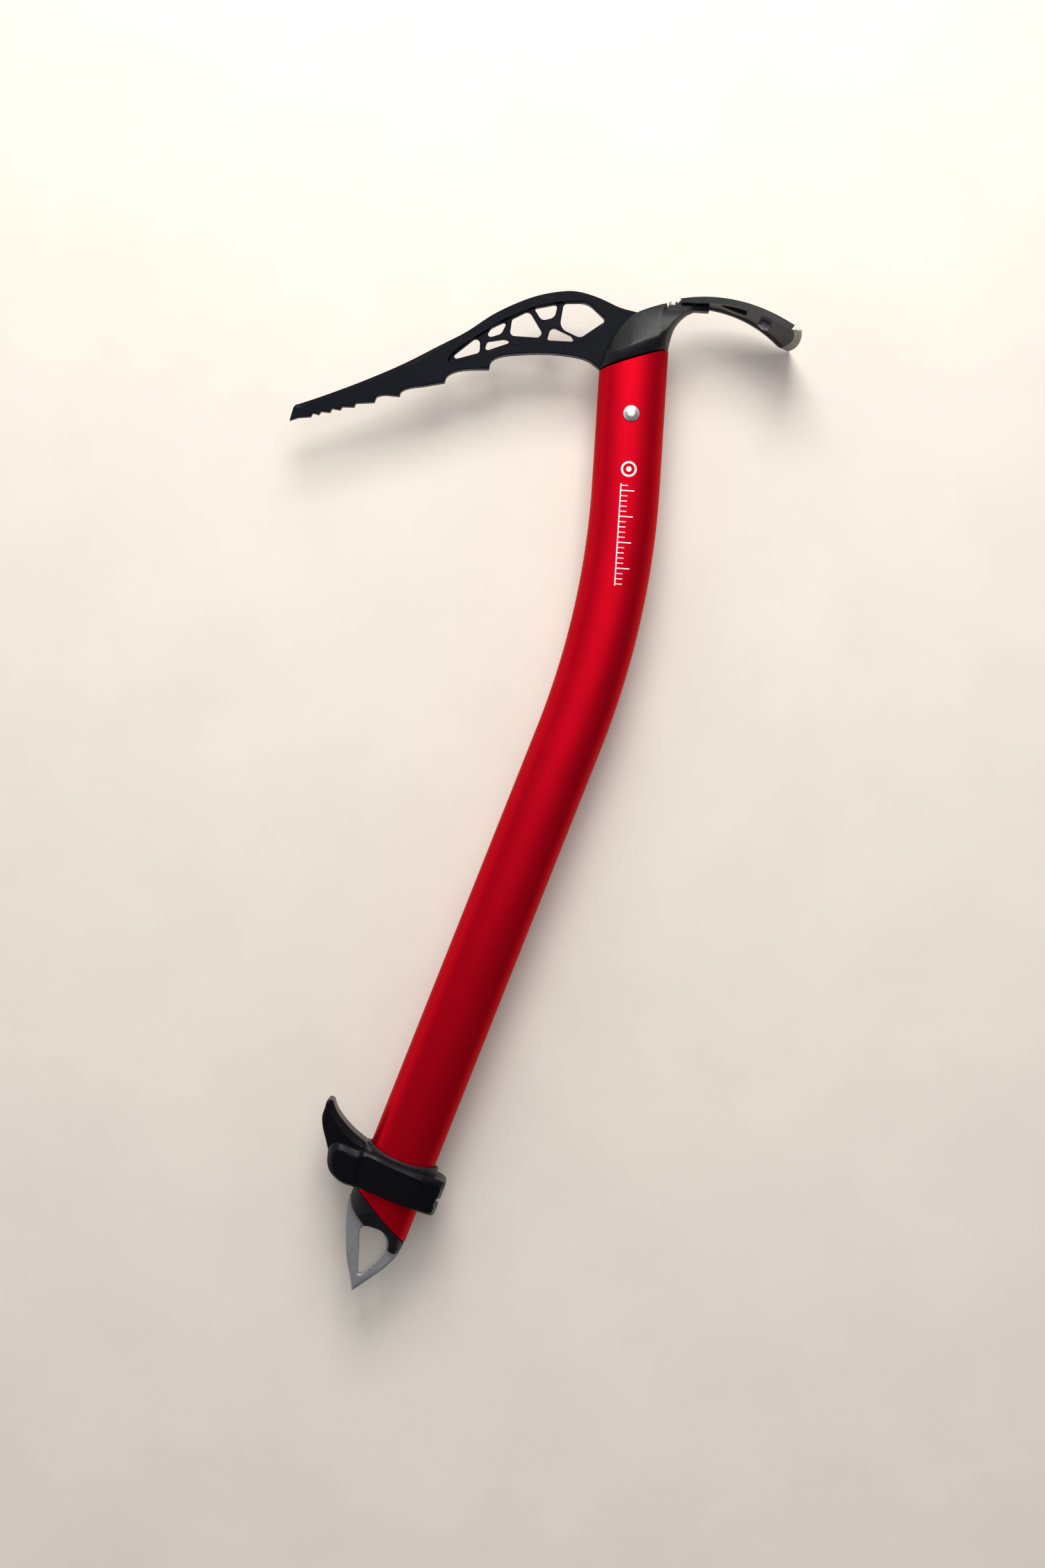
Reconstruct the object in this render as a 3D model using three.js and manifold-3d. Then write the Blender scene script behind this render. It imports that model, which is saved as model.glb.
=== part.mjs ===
// Technical ice axe: bent oval shaft, toothed pick plate, adze, spike and a sliding trigger rest.
// Millimetres. +Y runs up the straight upper shaft to the head, +X towards the adze,
// +Z out of the plane of the axe. The layout is drawn about the head rivet.
import * as THREE from "three";
import Module from "manifold-3d";
import { mergeVertices } from "three/addons/utils/BufferGeometryUtils.js";

const wasm = await Module();
wasm.setup();

// ---- driving dimensions ----
const SHAFT_WIDE = 33;
const SHAFT_THICK = 21;
const SHAFT_NOSE_R = 9.5;
const SHAFT_WALL = 1.6;
const BEND_R = 400;
const BEND_DEG = 18.14;
const BEND_Y = -96.6;
const HEAD_CUT_Y = 27;
const HEAD_CUT_SLOPE = 0.357;
const FOOT_CUT_Y = -311.5;
const FOOT_CUT_SLOPE = -0.542;
const GAP = 0.3;

const HEAD_PLATE = 6;
const PICK_TIP_PLATE = 3.4;
const POCKET_DEPTH = 1.5;
const TANG_HALF = 12;
const TANG_END_Y = -24;

const RIVET_SHANK_R = 2.7;
const RIVET_HEAD_R = 4.05;
const RIVET_DOME = 1.9;

const ADZE_CX = 32.5;
const ADZE_CY = -9.9;
const ADZE_R = 69;
const ADZE_START_DEG = -9.8;
const ADZE_END_DEG = 43;
const ADZE_PLATE = 2.4;
const ADZE_LIP = 3.3;
const ADZE_LIP_WALL = 2.3;
const ADZE_SCREW_DEG = 26.9;
const ADZE_BOLT_X = 17.6;

const SPIKE_PLATE = 4;
const SPIKE_TANG_HALF = 11.5;
const SPIKE_PIN_Y = -290;
const SPIKE_PIN_R = 3;

const REST_TOP_Y = -284.8;
const REST_END_Y = -302.4;
const LINER_TOP_Y = -280.8;
const LINER_WALL = 1.6;
const REST_HALF_Z = 14.5;
const REST_BACK_X = 24.6;
const PIVOT_X = -27.2;
const PIVOT_Y = -294;
const PIVOT_R = 2.5;
const HOOK_HALF_Z = 8.6;
const FORK_HALF_Z = 9;

const HALF_WIDE = SHAFT_WIDE / 2;
const HALF_THICK = SHAFT_THICK / 2;
const BEND = THREE.MathUtils.degToRad(BEND_DEG);

// ---- materials ----
const finish = (color, roughness, metalness) =>
  new THREE.MeshStandardMaterial({ color, roughness, metalness });
const redAnodised = () => finish(0xb80a1c, 0.38, 0.6);
const blackSteel = () => finish(0x2b2e35, 0.5, 0.5);
const blackMoulding = () => finish(0x202225, 0.6, 0);
const blackAlloy = () => finish(0x37373a, 0.5, 0.5);
const satinSteel = () => finish(0xa4a8ab, 0.35, 0.9);
const brightAlloy = () => finish(0xd5d6d8, 0.25, 0.9);
const restMoulding = () => finish(0x1b1c22, 0.55, 0);
const linerMoulding = () => finish(0x3b363c, 0.55, 0);

// ---- joining and cutting closed solids ----
function toSolid(geometry) {
  const g = geometry.clone();
  g.deleteAttribute("normal");
  g.deleteAttribute("uv");
  const m = mergeVertices(g, 1e-4);
  return new wasm.Manifold(new wasm.Mesh({
    numProp: 3,
    vertProperties: new Float32Array(m.attributes.position.array),
    triVerts: new Uint32Array(m.index.array),
  }));
}

function toGeometry(solid) {
  const mesh = solid.getMesh();
  const g = new THREE.BufferGeometry();
  g.setAttribute("position", new THREE.BufferAttribute(new Float32Array(mesh.vertProperties), 3));
  g.setIndex(new THREE.BufferAttribute(new Uint32Array(mesh.triVerts), 1));
  const flat = g.toNonIndexed();
  flat.computeVertexNormals();
  return flat;
}

function cut(base, ...tools) {
  let solid = toSolid(base);
  for (const tool of tools) {
    solid = solid.subtract(toSolid(tool));
  }
  return toGeometry(solid);
}

function join(...parts) {
  let solid = toSolid(parts[0]);
  for (const part of parts.slice(1)) {
    solid = solid.add(toSolid(part));
  }
  return toGeometry(solid);
}

function common(a, b) {
  return toGeometry(toSolid(a).intersect(toSolid(b)));
}

function mesh(name, geometry, material) {
  const m = new THREE.Mesh(geometry, material);
  m.name = name;
  return m;
}

// ---- flat shapes ----
// Corners given as [x, y, radius]; each one is rounded with a true arc.
function cornered(corners, steps = 5) {
  const out = [];
  const n = corners.length;
  for (let i = 0; i < n; i++) {
    const [x, y, r = 0] = corners[i];
    const p = new THREE.Vector2(x, y);
    const a = new THREE.Vector2(...corners[(i + n - 1) % n].slice(0, 2)).sub(p).normalize();
    const b = new THREE.Vector2(...corners[(i + 1) % n].slice(0, 2)).sub(p).normalize();
    if (r === 0) {
      out.push(p);
      continue;
    }
    const half = Math.acos(THREE.MathUtils.clamp(a.dot(b), -1, 1)) / 2;
    const centre = p.clone().addScaledVector(a.clone().add(b).normalize(), r / Math.sin(half));
    const from = p.clone().addScaledVector(a, r / Math.tan(half)).sub(centre);
    const turn = Math.PI - 2 * half;
    const side = Math.sign(a.x * b.y - a.y * b.x) < 0 ? 1 : -1;
    for (let k = 0; k <= steps; k++) {
      out.push(from.clone().rotateAround(new THREE.Vector2(), side * turn * k / steps).add(centre));
    }
  }
  return new THREE.Shape(out);
}

// A slab between two heights, from a flat outline.
function slab(shape, low, high, segments = 3) {
  const g = new THREE.ExtrudeGeometry(shape, {
    depth: high - low,
    bevelEnabled: false,
    curveSegments: segments,
  });
  return g.translate(0, 0, low);
}

// Four-arc oval, the shaft's section, grown or shrunk by an offset.
function oval(offset, steps = 8) {
  const a = HALF_WIDE + offset;
  const b = HALF_THICK + offset;
  const r = SHAFT_NOSE_R + offset;
  const cx = a - r;
  const big = (cx * cx + b * b - r * r) / (2 * (b - r));
  const nose = Math.atan2(big - b, cx);
  const pts = [];
  for (const [ox, oy, radius, from, to] of [
    [cx, 0, r, -nose, nose],
    [0, b - big, big, nose, Math.PI - nose],
    [-cx, 0, r, Math.PI - nose, Math.PI + nose],
    [0, big - b, big, Math.PI + nose, 2 * Math.PI - nose],
  ]) {
    for (let k = 0; k < steps; k++) {
      const t = from + (to - from) * k / steps;
      pts.push(new THREE.Vector2(ox + radius * Math.cos(t), oy + radius * Math.sin(t)));
    }
  }
  return pts;
}

// Upright prism on a section drawn in X and Z, between two heights in Y.
function upright(points, low, high) {
  const g = new THREE.ExtrudeGeometry(new THREE.Shape(points), {
    depth: high - low,
    bevelEnabled: false,
  });
  g.rotateX(Math.PI / 2);
  return g.translate(0, high, 0);
}

// Prism running along X, on a section drawn in Y and Z.
function crosswise(shape, half) {
  const turn = new THREE.Matrix4().makeBasis(
    new THREE.Vector3(0, 1, 0), new THREE.Vector3(0, 0, 1), new THREE.Vector3(1, 0, 0));
  return slab(shape, -half, half).applyMatrix4(turn);
}

// Solid through a row of matching rings, closed at both ends or joined back to the first ring.
function loft(rings, looped = false) {
  const n = rings[0].length;
  const position = rings.flat().flatMap((p) => [p.x, p.y, p.z]);
  const index = [];
  const spans = looped ? rings.length : rings.length - 1;
  for (let i = 0; i < spans; i++) {
    for (let k = 0; k < n; k++) {
      const a = i * n + k;
      const b = i * n + (k + 1) % n;
      const c = ((i + 1) % rings.length) * n + k;
      const d = ((i + 1) % rings.length) * n + (k + 1) % n;
      index.push(a, b, d, a, d, c);
    }
  }
  if (!looped) {
    const last = (rings.length - 1) * n;
    const flat = rings[0].map((p) => new THREE.Vector2(p.z, Math.hypot(p.x - ADZE_CX, p.y - ADZE_CY)));
    const along = THREE.ShapeUtils.area(flat) > 0;
    for (const [a, b, c] of THREE.ShapeUtils.triangulateShape(flat, [])) {
      const same = (THREE.ShapeUtils.area([flat[a], flat[b], flat[c]]) > 0) === along;
      const [p, q] = same ? [b, c] : [c, b];
      index.push(a, q, p);
      index.push(last + a, last + p, last + q);
    }
  }
  const g = new THREE.BufferGeometry();
  g.setAttribute("position", new THREE.Float32BufferAttribute(position, 3));
  g.setIndex(index);
  return g;
}

// Round bar along Z between two heights.
function barZ(radius, low, high, x = 0, y = 0, sides = 20) {
  const g = new THREE.CylinderGeometry(radius, radius, high - low, sides);
  g.rotateX(Math.PI / 2);
  return g.translate(x, y, (low + high) / 2);
}

// Places geometry drawn along the lower shaft into the layout.
const footMatrix = new THREE.Matrix4()
  .makeRotationZ(-BEND)
  .setPosition(0, BEND_Y, 0);

// ---- shaft ----
// The centre line: straight, one constant bend, straight. Returns place and lean at each station.
function shaftStations() {
  const reach = BEND_R * Math.tan(BEND / 2);
  const out = [{ x: 0, y: 0, lean: 0, end: "head" }];
  for (let k = 0; k <= 10; k++) {
    const lean = BEND * k / 10;
    out.push({
      x: -BEND_R * (1 - Math.cos(lean)),
      y: BEND_Y + reach - BEND_R * Math.sin(lean),
      lean,
    });
  }
  out.push({ x: 0, y: 0, lean: BEND, end: "foot" });
  return out;
}

function shaftRing(station, section) {
  return section.map((p) => {
    if (station.end === "head") {
      return new THREE.Vector3(p.x, HEAD_CUT_Y + HEAD_CUT_SLOPE * p.x, p.y);
    }
    if (station.end === "foot") {
      return new THREE.Vector3(p.x, FOOT_CUT_Y + FOOT_CUT_SLOPE * p.x, p.y).applyMatrix4(footMatrix);
    }
    return new THREE.Vector3(
      station.x + p.x * Math.cos(station.lean),
      station.y - p.x * Math.sin(station.lean),
      p.y,
    );
  });
}

function shaftTube() {
  const stations = shaftStations();
  const outer = stations.map((s) => shaftRing(s, oval(0)));
  const inner = stations.map((s) => shaftRing(s, oval(-SHAFT_WALL))).reverse();
  const tube = loft([...outer, ...inner], true);
  const rivetHole = barZ(RIVET_SHANK_R + 0.15, -20, 20);
  const pinHole = barZ(SPIKE_PIN_R + 0.15, -20, 20, 0, SPIKE_PIN_Y).applyMatrix4(footMatrix);
  return mesh("shaft_tube", cut(tube, rivetHole, pinHole), redAnodised());
}

// ---- head plate with pick ----
// Tooth tip, then the notch behind it, walking from the point towards the shaft.
const SMALL_TEETH = [
  [-154.7, -9.8, -153.8, -8.0],
  [-150.9, -8.6, -149.9, -7.0],
  [-145.5, -7.1, -144.6, -5.2],
  [-140.7, -5.6, -139.7, -4.0],
  [-134.1, -3.8, -133.2, -1.9],
];
// Tooth tip, notch, then the scoop's turning point and its far end.
const LARGE_TEETH = [
  [-124.4, -0.9, -123.4, 1.8, -120.5, 3.4, -116, 2.9],
  [-112.3, 2.8, -112, 4.6, -110.5, 7.1, -102, 8.2],
  [-91, 10.8, -90.4, 13.2, -88, 17.3, -77, 18.1],
  [-69.8, 18.6, -69.5, 21.5, -68, 25, -60.2, 26.2],
];

function pickOutline() {
  const s = new THREE.Shape();
  s.moveTo(-164.8, -12.2);
  s.lineTo(-160.8, -10.6);
  for (const [tx, ty, nx, ny] of SMALL_TEETH) {
    s.lineTo(tx, ty);
    s.lineTo(nx, ny);
  }
  for (const [tx, ty, nx, ny, qx, qy, ex, ey] of LARGE_TEETH) {
    s.lineTo(tx, ty);
    s.lineTo(nx, ny);
    s.quadraticCurveTo(qx, qy, ex, ey);
  }
  const belly = [[-51, 27.4], [-40, 28], [-29, 27.3], [-22, 25.6], [-16.3, 21.8]];
  s.splineThru(belly.map(([x, y]) => new THREE.Vector2(x, y)));
  s.lineTo(-TANG_HALF, 23.3);
  s.lineTo(-TANG_HALF, TANG_END_Y + 3);
  s.quadraticCurveTo(-TANG_HALF, TANG_END_Y, 3 - TANG_HALF, TANG_END_Y);
  s.lineTo(TANG_HALF - 3, TANG_END_Y);
  s.quadraticCurveTo(TANG_HALF, TANG_END_Y, TANG_HALF, TANG_END_Y + 3);
  s.lineTo(TANG_HALF, 31);
  s.quadraticCurveTo(13, 44, 20.5, 50);
  s.quadraticCurveTo(24, 52.9, 29, 52.9);
  s.lineTo(34.8, 52.9);
  const armR = ADZE_R - ADZE_PLATE - GAP;
  const from = Math.acos((34.8 - ADZE_CX) / armR);
  const to = Math.acos((21.6 - ADZE_CX) / armR);
  s.absarc(ADZE_CX, ADZE_CY, armR, from, to, false);
  s.lineTo(21.6, 52.7);
  s.lineTo(13, 52.7);
  s.quadraticCurveTo(6, 51, 0.4, 50.3);
  const crest = [[-8.4, 52.1], [-18.4, 56], [-28, 58.4], [-36, 58.3], [-47, 55.8], [-57, 51.8],
    [-69.5, 44.9], [-81.8, 35.8], [-94.3, 28.4], [-112, 18.2], [-131.8, 8.4], [-150, 0.4],
    [-161, -4]];
  s.splineThru(crest.map(([x, y]) => new THREE.Vector2(x, y)));
  s.quadraticCurveTo(-163, -4.6, -163.5, -6.5);
  s.closePath();
  return s;
}

// The milled pocket in each face, leaving a rim all round.
function pocketOutline() {
  const s = new THREE.Shape();
  s.moveTo(-90.2, 21.4);
  const upper = [[-88.8, 24.1], [-84.6, 28.6], [-75.3, 35.2], [-62.9, 43.6], [-50.3, 49.7],
    [-37.6, 53.1], [-28, 54], [-21.4, 52], [-16, 47.4], [-15.2, 44.6]];
  s.splineThru(upper.map(([x, y]) => new THREE.Vector2(x, y)));
  const lower = [[-17.8, 41.3], [-23.6, 36.3], [-30, 33], [-39.5, 32.4], [-52.4, 31.4],
    [-63.6, 29], [-74.6, 25], [-84.1, 20.9], [-88.6, 19.7], [-90.2, 21.4]];
  s.splineThru(lower.map(([x, y]) => new THREE.Vector2(x, y)));
  return s;
}

// Lightening windows through the web, as rounded corners [x, y, radius].
const WINDOWS = [
  [[-91, 21, 1.2], [-74.9, 26.3, 2], [-75.1, 35.2, 2]],
  [[-73, 33.1, 1.4], [-65, 36, 3.5], [-62, 42.8, 1], [-70, 38.6, 4]],
  [[-72.8, 27, 1.2], [-59, 32.6, 0.9], [-63.5, 33.6, 3], [-71.6, 31.9, 1.5]],
  [[-60.9, 35.4, 2.2], [-43.4, 35.3, 2.4], [-52.2, 48.2, 2.6], [-60.2, 43.6, 1.6]],
  [[-49.8, 49.3, 0.8], [-45.8, 43.6, 3], [-39.6, 45.6, 3.5], [-38.5, 52.2, 1.2]],
  [[-42.7, 34.3, 1], [-29, 34.5, 0.9], [-31.2, 37.2, 2], [-41.2, 41.3, 2.4]],
  [[-37, 40.6, 5], [-26.6, 36.4, 3.4], [-14.6, 45.6, 1.6], [-24.2, 53.6, 7], [-35.6, 52.8, 2]],
];

function pickPlate() {
  const half = HEAD_PLATE / 2;
  const tip = PICK_TIP_PLATE / 2;
  const body = slab(pickOutline(), -half, half, 2);
  // side view of the plate: full thickness at the head, thinning towards the point
  const wedge = new THREE.Shape([
    new THREE.Vector2(-170, -tip),
    new THREE.Vector2(-62, -half),
    new THREE.Vector2(50, -half),
    new THREE.Vector2(50, half),
    new THREE.Vector2(-62, half),
    new THREE.Vector2(-170, tip),
  ]);
  const side = slab(wedge, -80, 80);
  side.rotateX(Math.PI / 2);
  const tapered = common(body, side);
  const floor = half - POCKET_DEPTH;
  const front = slab(pocketOutline(), floor, half + 2, 2);
  const back = slab(pocketOutline(), -half - 2, -floor, 2);
  const windows = WINDOWS.map((w) => slab(cornered(w, 4), -6, 6));
  const rivetBore = barZ(RIVET_SHANK_R + 0.15, -10, 10);
  const boltBore = new THREE.CylinderGeometry(1.75, 1.75, 12, 14).translate(ADZE_BOLT_X, 49.5, 0);
  return mesh("pick_plate", cut(tapered, front, back, ...windows, rivetBore, boltBore), blackSteel());
}

// ---- head covers ----
function coverOutline() {
  const s = new THREE.Shape();
  s.moveTo(0.4, 50.1);
  const arc = [[-4.9, 46.3], [-10, 39.9], [-12.8, 33.9], [-15.3, 26.9], [-16.1, 22]];
  s.splineThru(arc.map(([x, y]) => new THREE.Vector2(x, y)));
  s.lineTo(16.3, 33.5);
  const back = [[16.9, 37.5], [18.6, 43.6], [21.2, 47.7], [24.2, 50.6], [26.8, 52]];
  s.splineThru(back.map(([x, y]) => new THREE.Vector2(x, y)));
  s.lineTo(26.2, 54.6);
  s.lineTo(21.6, 54.4);
  s.lineTo(21.2, 52.6);
  s.lineTo(14.7, 52.6);
  s.lineTo(14, 55.1);
  s.quadraticCurveTo(7, 53.2, 0.4, 50.1);
  return s;
}

// One half shell over the tube end and head plate; side is +1 for the front, -1 for the back.
function headCover(name, side) {
  const half = HEAD_PLATE / 2;
  // the flat joint face lies just off the middle plane
  const hood = slab(coverOutline(), 0.15, 14, 2);
  // section across the shaft, falling to the front edge and thinning over the arm
  const crown = new THREE.Shape();
  crown.moveTo(-16.4, -1);
  crown.lineTo(-16.4, 0.5);
  crown.quadraticCurveTo(-15.5, 8.5, -8, 9.9);
  crown.quadraticCurveTo(4, 12.2, 14, 9.3);
  crown.lineTo(28, 7);
  crown.lineTo(28, -1);
  const roof = upright(crown.getPoints(5), 15, 70);
  // section along the shaft: level to the ridge, then sloping down to the crest
  const gable = crosswise(cornered([[18, -1], [58, -1], [56, 6.2], [34, 11.6, 3], [18, 10.2]]), 40);
  const shell = common(common(hood, gable), roof);
  // the plug that fills the tube beside the tang
  const plug = upright(oval(-SHAFT_WALL - GAP), -26, 34);
  const below = slab(cornered([[-20, -26], [20, -26], [20, 37], [-20, 23]]), 0.15, 20);
  const neck = common(plug, below);
  const tang = slab(pickOutline(), -half - 0.2, half + 0.2, 2);
  const tangSlot = slab(
    cornered([[-TANG_HALF - 0.4, -40], [TANG_HALF + 0.4, -40], [TANG_HALF + 0.4, 33],
      [-TANG_HALF - 0.4, 26]]),
    -half - 0.2, half + 0.2);
  const rivetBore = barZ(RIVET_SHANK_R + 0.2, -20, 20);
  const grownTang = tang.clone().translate(0.3, 0.25, 0);
  const shrunkTang = tang.clone().translate(-0.3, -0.25, 0);
  const boltRoom = new THREE.CylinderGeometry(1.95, 1.95, 14, 14).translate(ADZE_BOLT_X, 51, 0);
  const rooms = [tang, grownTang, shrunkTang, tangSlot, rivetBore, boltRoom];
  const geometry = cut(join(shell, neck), ...rooms);
  if (side < 0) {
    geometry.rotateY(Math.PI);
    geometry.scale(-1, 1, 1);
    flipFaces(geometry);
  }
  return mesh(name, geometry, blackMoulding());
}

// Turns every triangle over after a mirror.
function flipFaces(geometry) {
  const p = geometry.attributes.position;
  for (let i = 0; i < p.count; i += 3) {
    for (const get of ["getX", "getY", "getZ"]) {
      const b = p[get](i + 1);
      const c = p[get](i + 2);
      p[get.replace("get", "set")](i + 1, c);
      p[get.replace("get", "set")](i + 2, b);
    }
  }
  geometry.computeVertexNormals();
}

// ---- rivets, bolts and pins ----
// Turned part along Z, drawn as [radius, height] from bottom to top.
function turned(profile, sides = 24) {
  const g = new THREE.LatheGeometry(profile.map(([r, h]) => new THREE.Vector2(r, h)), sides);
  return g.rotateX(Math.PI / 2);
}

function headRivet() {
  const seat = HALF_THICK + 0.12;
  const dome = [[RIVET_HEAD_R, seat], [RIVET_HEAD_R - 0.5, seat + 0.9], [2.4, seat + 1.6],
    [0, seat + RIVET_DOME]];
  const lower = dome.map(([r, h]) => [r, -h]).reverse();
  const profile = [...lower, [RIVET_SHANK_R, -seat], [RIVET_SHANK_R, seat], ...dome];
  return mesh("head_rivet", turned(profile), brightAlloy());
}

function spikePin() {
  const end = HALF_THICK - 0.1;
  const profile = [[0, -end], [SPIKE_PIN_R - 0.4, -end], [SPIKE_PIN_R, 0.4 - end],
    [SPIKE_PIN_R, end - 0.4], [SPIKE_PIN_R - 0.4, end], [0, end]];
  const pin = mesh("spike_pin", turned(profile, 20), satinSteel());
  pin.position.set(0, SPIKE_PIN_Y, 0);
  return pin;
}

// ---- adze ----
const adzeWidth = (t) => 5 + 14 * t + 6 * t ** 3;

// Scooped section at a station: a plate with a lip down each edge, fading out at both ends.
function adzeSection(t) {
  const turn = THREE.MathUtils.degToRad(ADZE_START_DEG + (ADZE_END_DEG - ADZE_START_DEG) * t);
  const w = adzeWidth(t);
  const edge = THREE.MathUtils.smoothstep(t, 0.86, 1);
  const root = 1 - THREE.MathUtils.smoothstep(t, 0, 0.12);
  const plate = THREE.MathUtils.lerp(ADZE_PLATE, 0.6, edge);
  const lip = plate + (ADZE_LIP - ADZE_PLATE) * (1 - edge) * (1 - root) + 0.02;
  const wall = Math.min(ADZE_LIP_WALL, w / 3);
  const top = ADZE_R;
  const profile = [[-w, top - 0.4], [-w + 1.2, top], [w - 1.2, top], [w, top - 0.4],
    [w - 0.3, top - lip], [w - wall, top - lip], [w - wall - 1.2, top - plate],
    [-w + wall + 1.2, top - plate], [-w + wall, top - lip], [-w + 0.3, top - lip]];
  return profile.map(([z, r]) => new THREE.Vector3(
    ADZE_CX + r * Math.sin(turn), ADZE_CY + r * Math.cos(turn), z));
}

function adze() {
  const rings = [];
  for (let k = 0; k <= 20; k++) {
    rings.push(adzeSection(k / 20));
  }
  const blade = loft(rings);
  // tongue under the root bolt
  const tongue = new THREE.BoxGeometry(6.2, 1.8, 5.8).translate(18.2, 53.9, 0);
  const riser = new THREE.BoxGeometry(1.2, 3.9, 5.8).translate(20.7, 54.95, 0);
  // stiffening rib on the underside
  const rib = slab(cornered([[40.5, 57.4], [40.5, 56], [46.7, 53.7, 6], [53, 51.9], [53, 55.2]]), -2.3, 2.3);
  const bolt = new THREE.CylinderGeometry(1.75, 1.75, 8, 14).translate(ADZE_BOLT_X, 54, 0);
  const screw = new THREE.CylinderGeometry(1.75, 1.75, 20, 14)
    .translate(0, ADZE_R, 0)
    .rotateZ(-THREE.MathUtils.degToRad(ADZE_SCREW_DEG))
    .translate(ADZE_CX, ADZE_CY, 0);
  const body = join(blade, rib, tongue, riser);
  return mesh("adze", cut(body, bolt, screw), blackAlloy());
}

function boltAt(name, profile, sides, x, y, degrees, material) {
  const g = new THREE.LatheGeometry(profile.map(([r, h]) => new THREE.Vector2(r, h)), sides);
  const m = mesh(name, g, material);
  m.position.set(x, y, 0);
  m.rotation.z = -THREE.MathUtils.degToRad(degrees);
  return m;
}

function adzeRootBolt() {
  const profile = [[0, -8.5], [1.55, -8.5], [1.55, 0.1], [2.4, 0.1], [2.4, 1.5], [1.9, 2], [1.2, 2],
    [1.2, 1], [0, 1]];
  return boltAt("adze_root_bolt", profile, 20, ADZE_BOLT_X, 54.85, 0, satinSteel());
}

function adzeFaceScrew() {
  const seat = ADZE_R + 0.1;
  const profile = [[0, seat - 5.6], [1.55, seat - 5.6], [1.55, seat], [3, seat], [2.7, seat + 0.8],
    [1.6, seat + 1.2], [1.3, seat + 0.5], [0, seat + 0.5]];
  return boltAt("adze_face_screw", profile, 20, ADZE_CX, ADZE_CY, ADZE_SCREW_DEG, satinSteel());
}

function adzeFaceNut() {
  const seat = ADZE_R - ADZE_PLATE - 0.15;
  const profile = [[1.95, seat], [1.95, seat - 2.4], [2.7, seat - 2.4], [3.1, seat - 2], [3.1, seat],
    [1.95, seat]];
  return boltAt("adze_face_nut", profile, 6, ADZE_CX, ADZE_CY, ADZE_SCREW_DEG, satinSteel());
}

// ---- spike, drawn along the lower shaft ----
function spikeOutline() {
  const s = new THREE.Shape();
  s.moveTo(-SPIKE_TANG_HALF, -264);
  s.lineTo(-SPIKE_TANG_HALF, -305.9);
  s.lineTo(-16.6, -303.2);
  s.lineTo(-17, -308);
  const front = [[-16.4, -313], [-12.7, -324.4], [-7.6, -336.3], [-1, -347.6], [1.4, -351.8]];
  s.splineThru(front.map(([x, y]) => new THREE.Vector2(x, y)));
  s.lineTo(8.4, -341.4);
  s.quadraticCurveTo(15.4, -331, 15.9, -325);
  s.lineTo(16.2, -321.1);
  s.lineTo(SPIKE_TANG_HALF, -318.6);
  s.lineTo(SPIKE_TANG_HALF, -264);
  return s;
}

const CLIP_HOLE = [[-7.8, -318.8, 4.5], [13.5, -318.8, 8.5], [1.6, -344.5, 1]];

function spikePlate() {
  const half = SPIKE_PLATE / 2;
  const clip = slab(cornered(CLIP_HOLE, 8), -6, 6);
  const pinBore = barZ(SPIKE_PIN_R + 0.15, -20, 20, 0, SPIKE_PIN_Y);
  return mesh("spike_plate", cut(slab(spikeOutline(), -half, half), clip, pinBore), satinSteel());
}

// Moulded filler each side of the spike plate; the inner part sits in the tube.
function spikePlug(name, side) {
  const base = SPIKE_PLATE / 2 + 0.2;
  const inner = upright(oval(-SHAFT_WALL - GAP), -326, -276);
  const lip = upright(oval(-0.3), -330, -298);
  const outline = new THREE.Shape();
  outline.moveTo(-16.4, -303.1);
  outline.lineTo(-16.4, -308.6);
  outline.quadraticCurveTo(-15.6, -311.6, -12, -314.4);
  outline.lineTo(-4.9, -319.3);
  outline.quadraticCurveTo(-2.8, -318.3, 3.2, -318.3);
  outline.quadraticCurveTo(9.6, -319.6, 9.9, -326.4);
  outline.quadraticCurveTo(15.6, -329.6, 16.1, -321.1);
  outline.closePath();
  const visible = common(slab(outline, base, 20), lip);
  const seat = slab(cornered([[-16, -276], [-16, -304.6], [16, -321.9], [16, -276]]), base, 20);
  const hidden = common(inner, seat);
  const bridge = common(inner, slab(outline, base, 20));
  const pinBore = barZ(SPIKE_PIN_R + 0.2, -20, 20, 0, SPIKE_PIN_Y);
  // slope the outer face down to the spike plate
  const slope = new THREE.Shape([
    new THREE.Vector2(-276, 0),
    new THREE.Vector2(-276, 12),
    new THREE.Vector2(-308, 12),
    new THREE.Vector2(-331, 5.2),
    new THREE.Vector2(-331, 0),
  ]);
  const seated = cut(join(hidden, bridge, visible), pinBore);
  const geometry = common(seated, crosswise(slope, 20));
  if (side < 0) {
    geometry.rotateY(Math.PI);
    geometry.scale(-1, 1, 1);
    flipFaces(geometry);
  }
  return mesh(name, geometry, blackMoulding());
}

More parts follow.
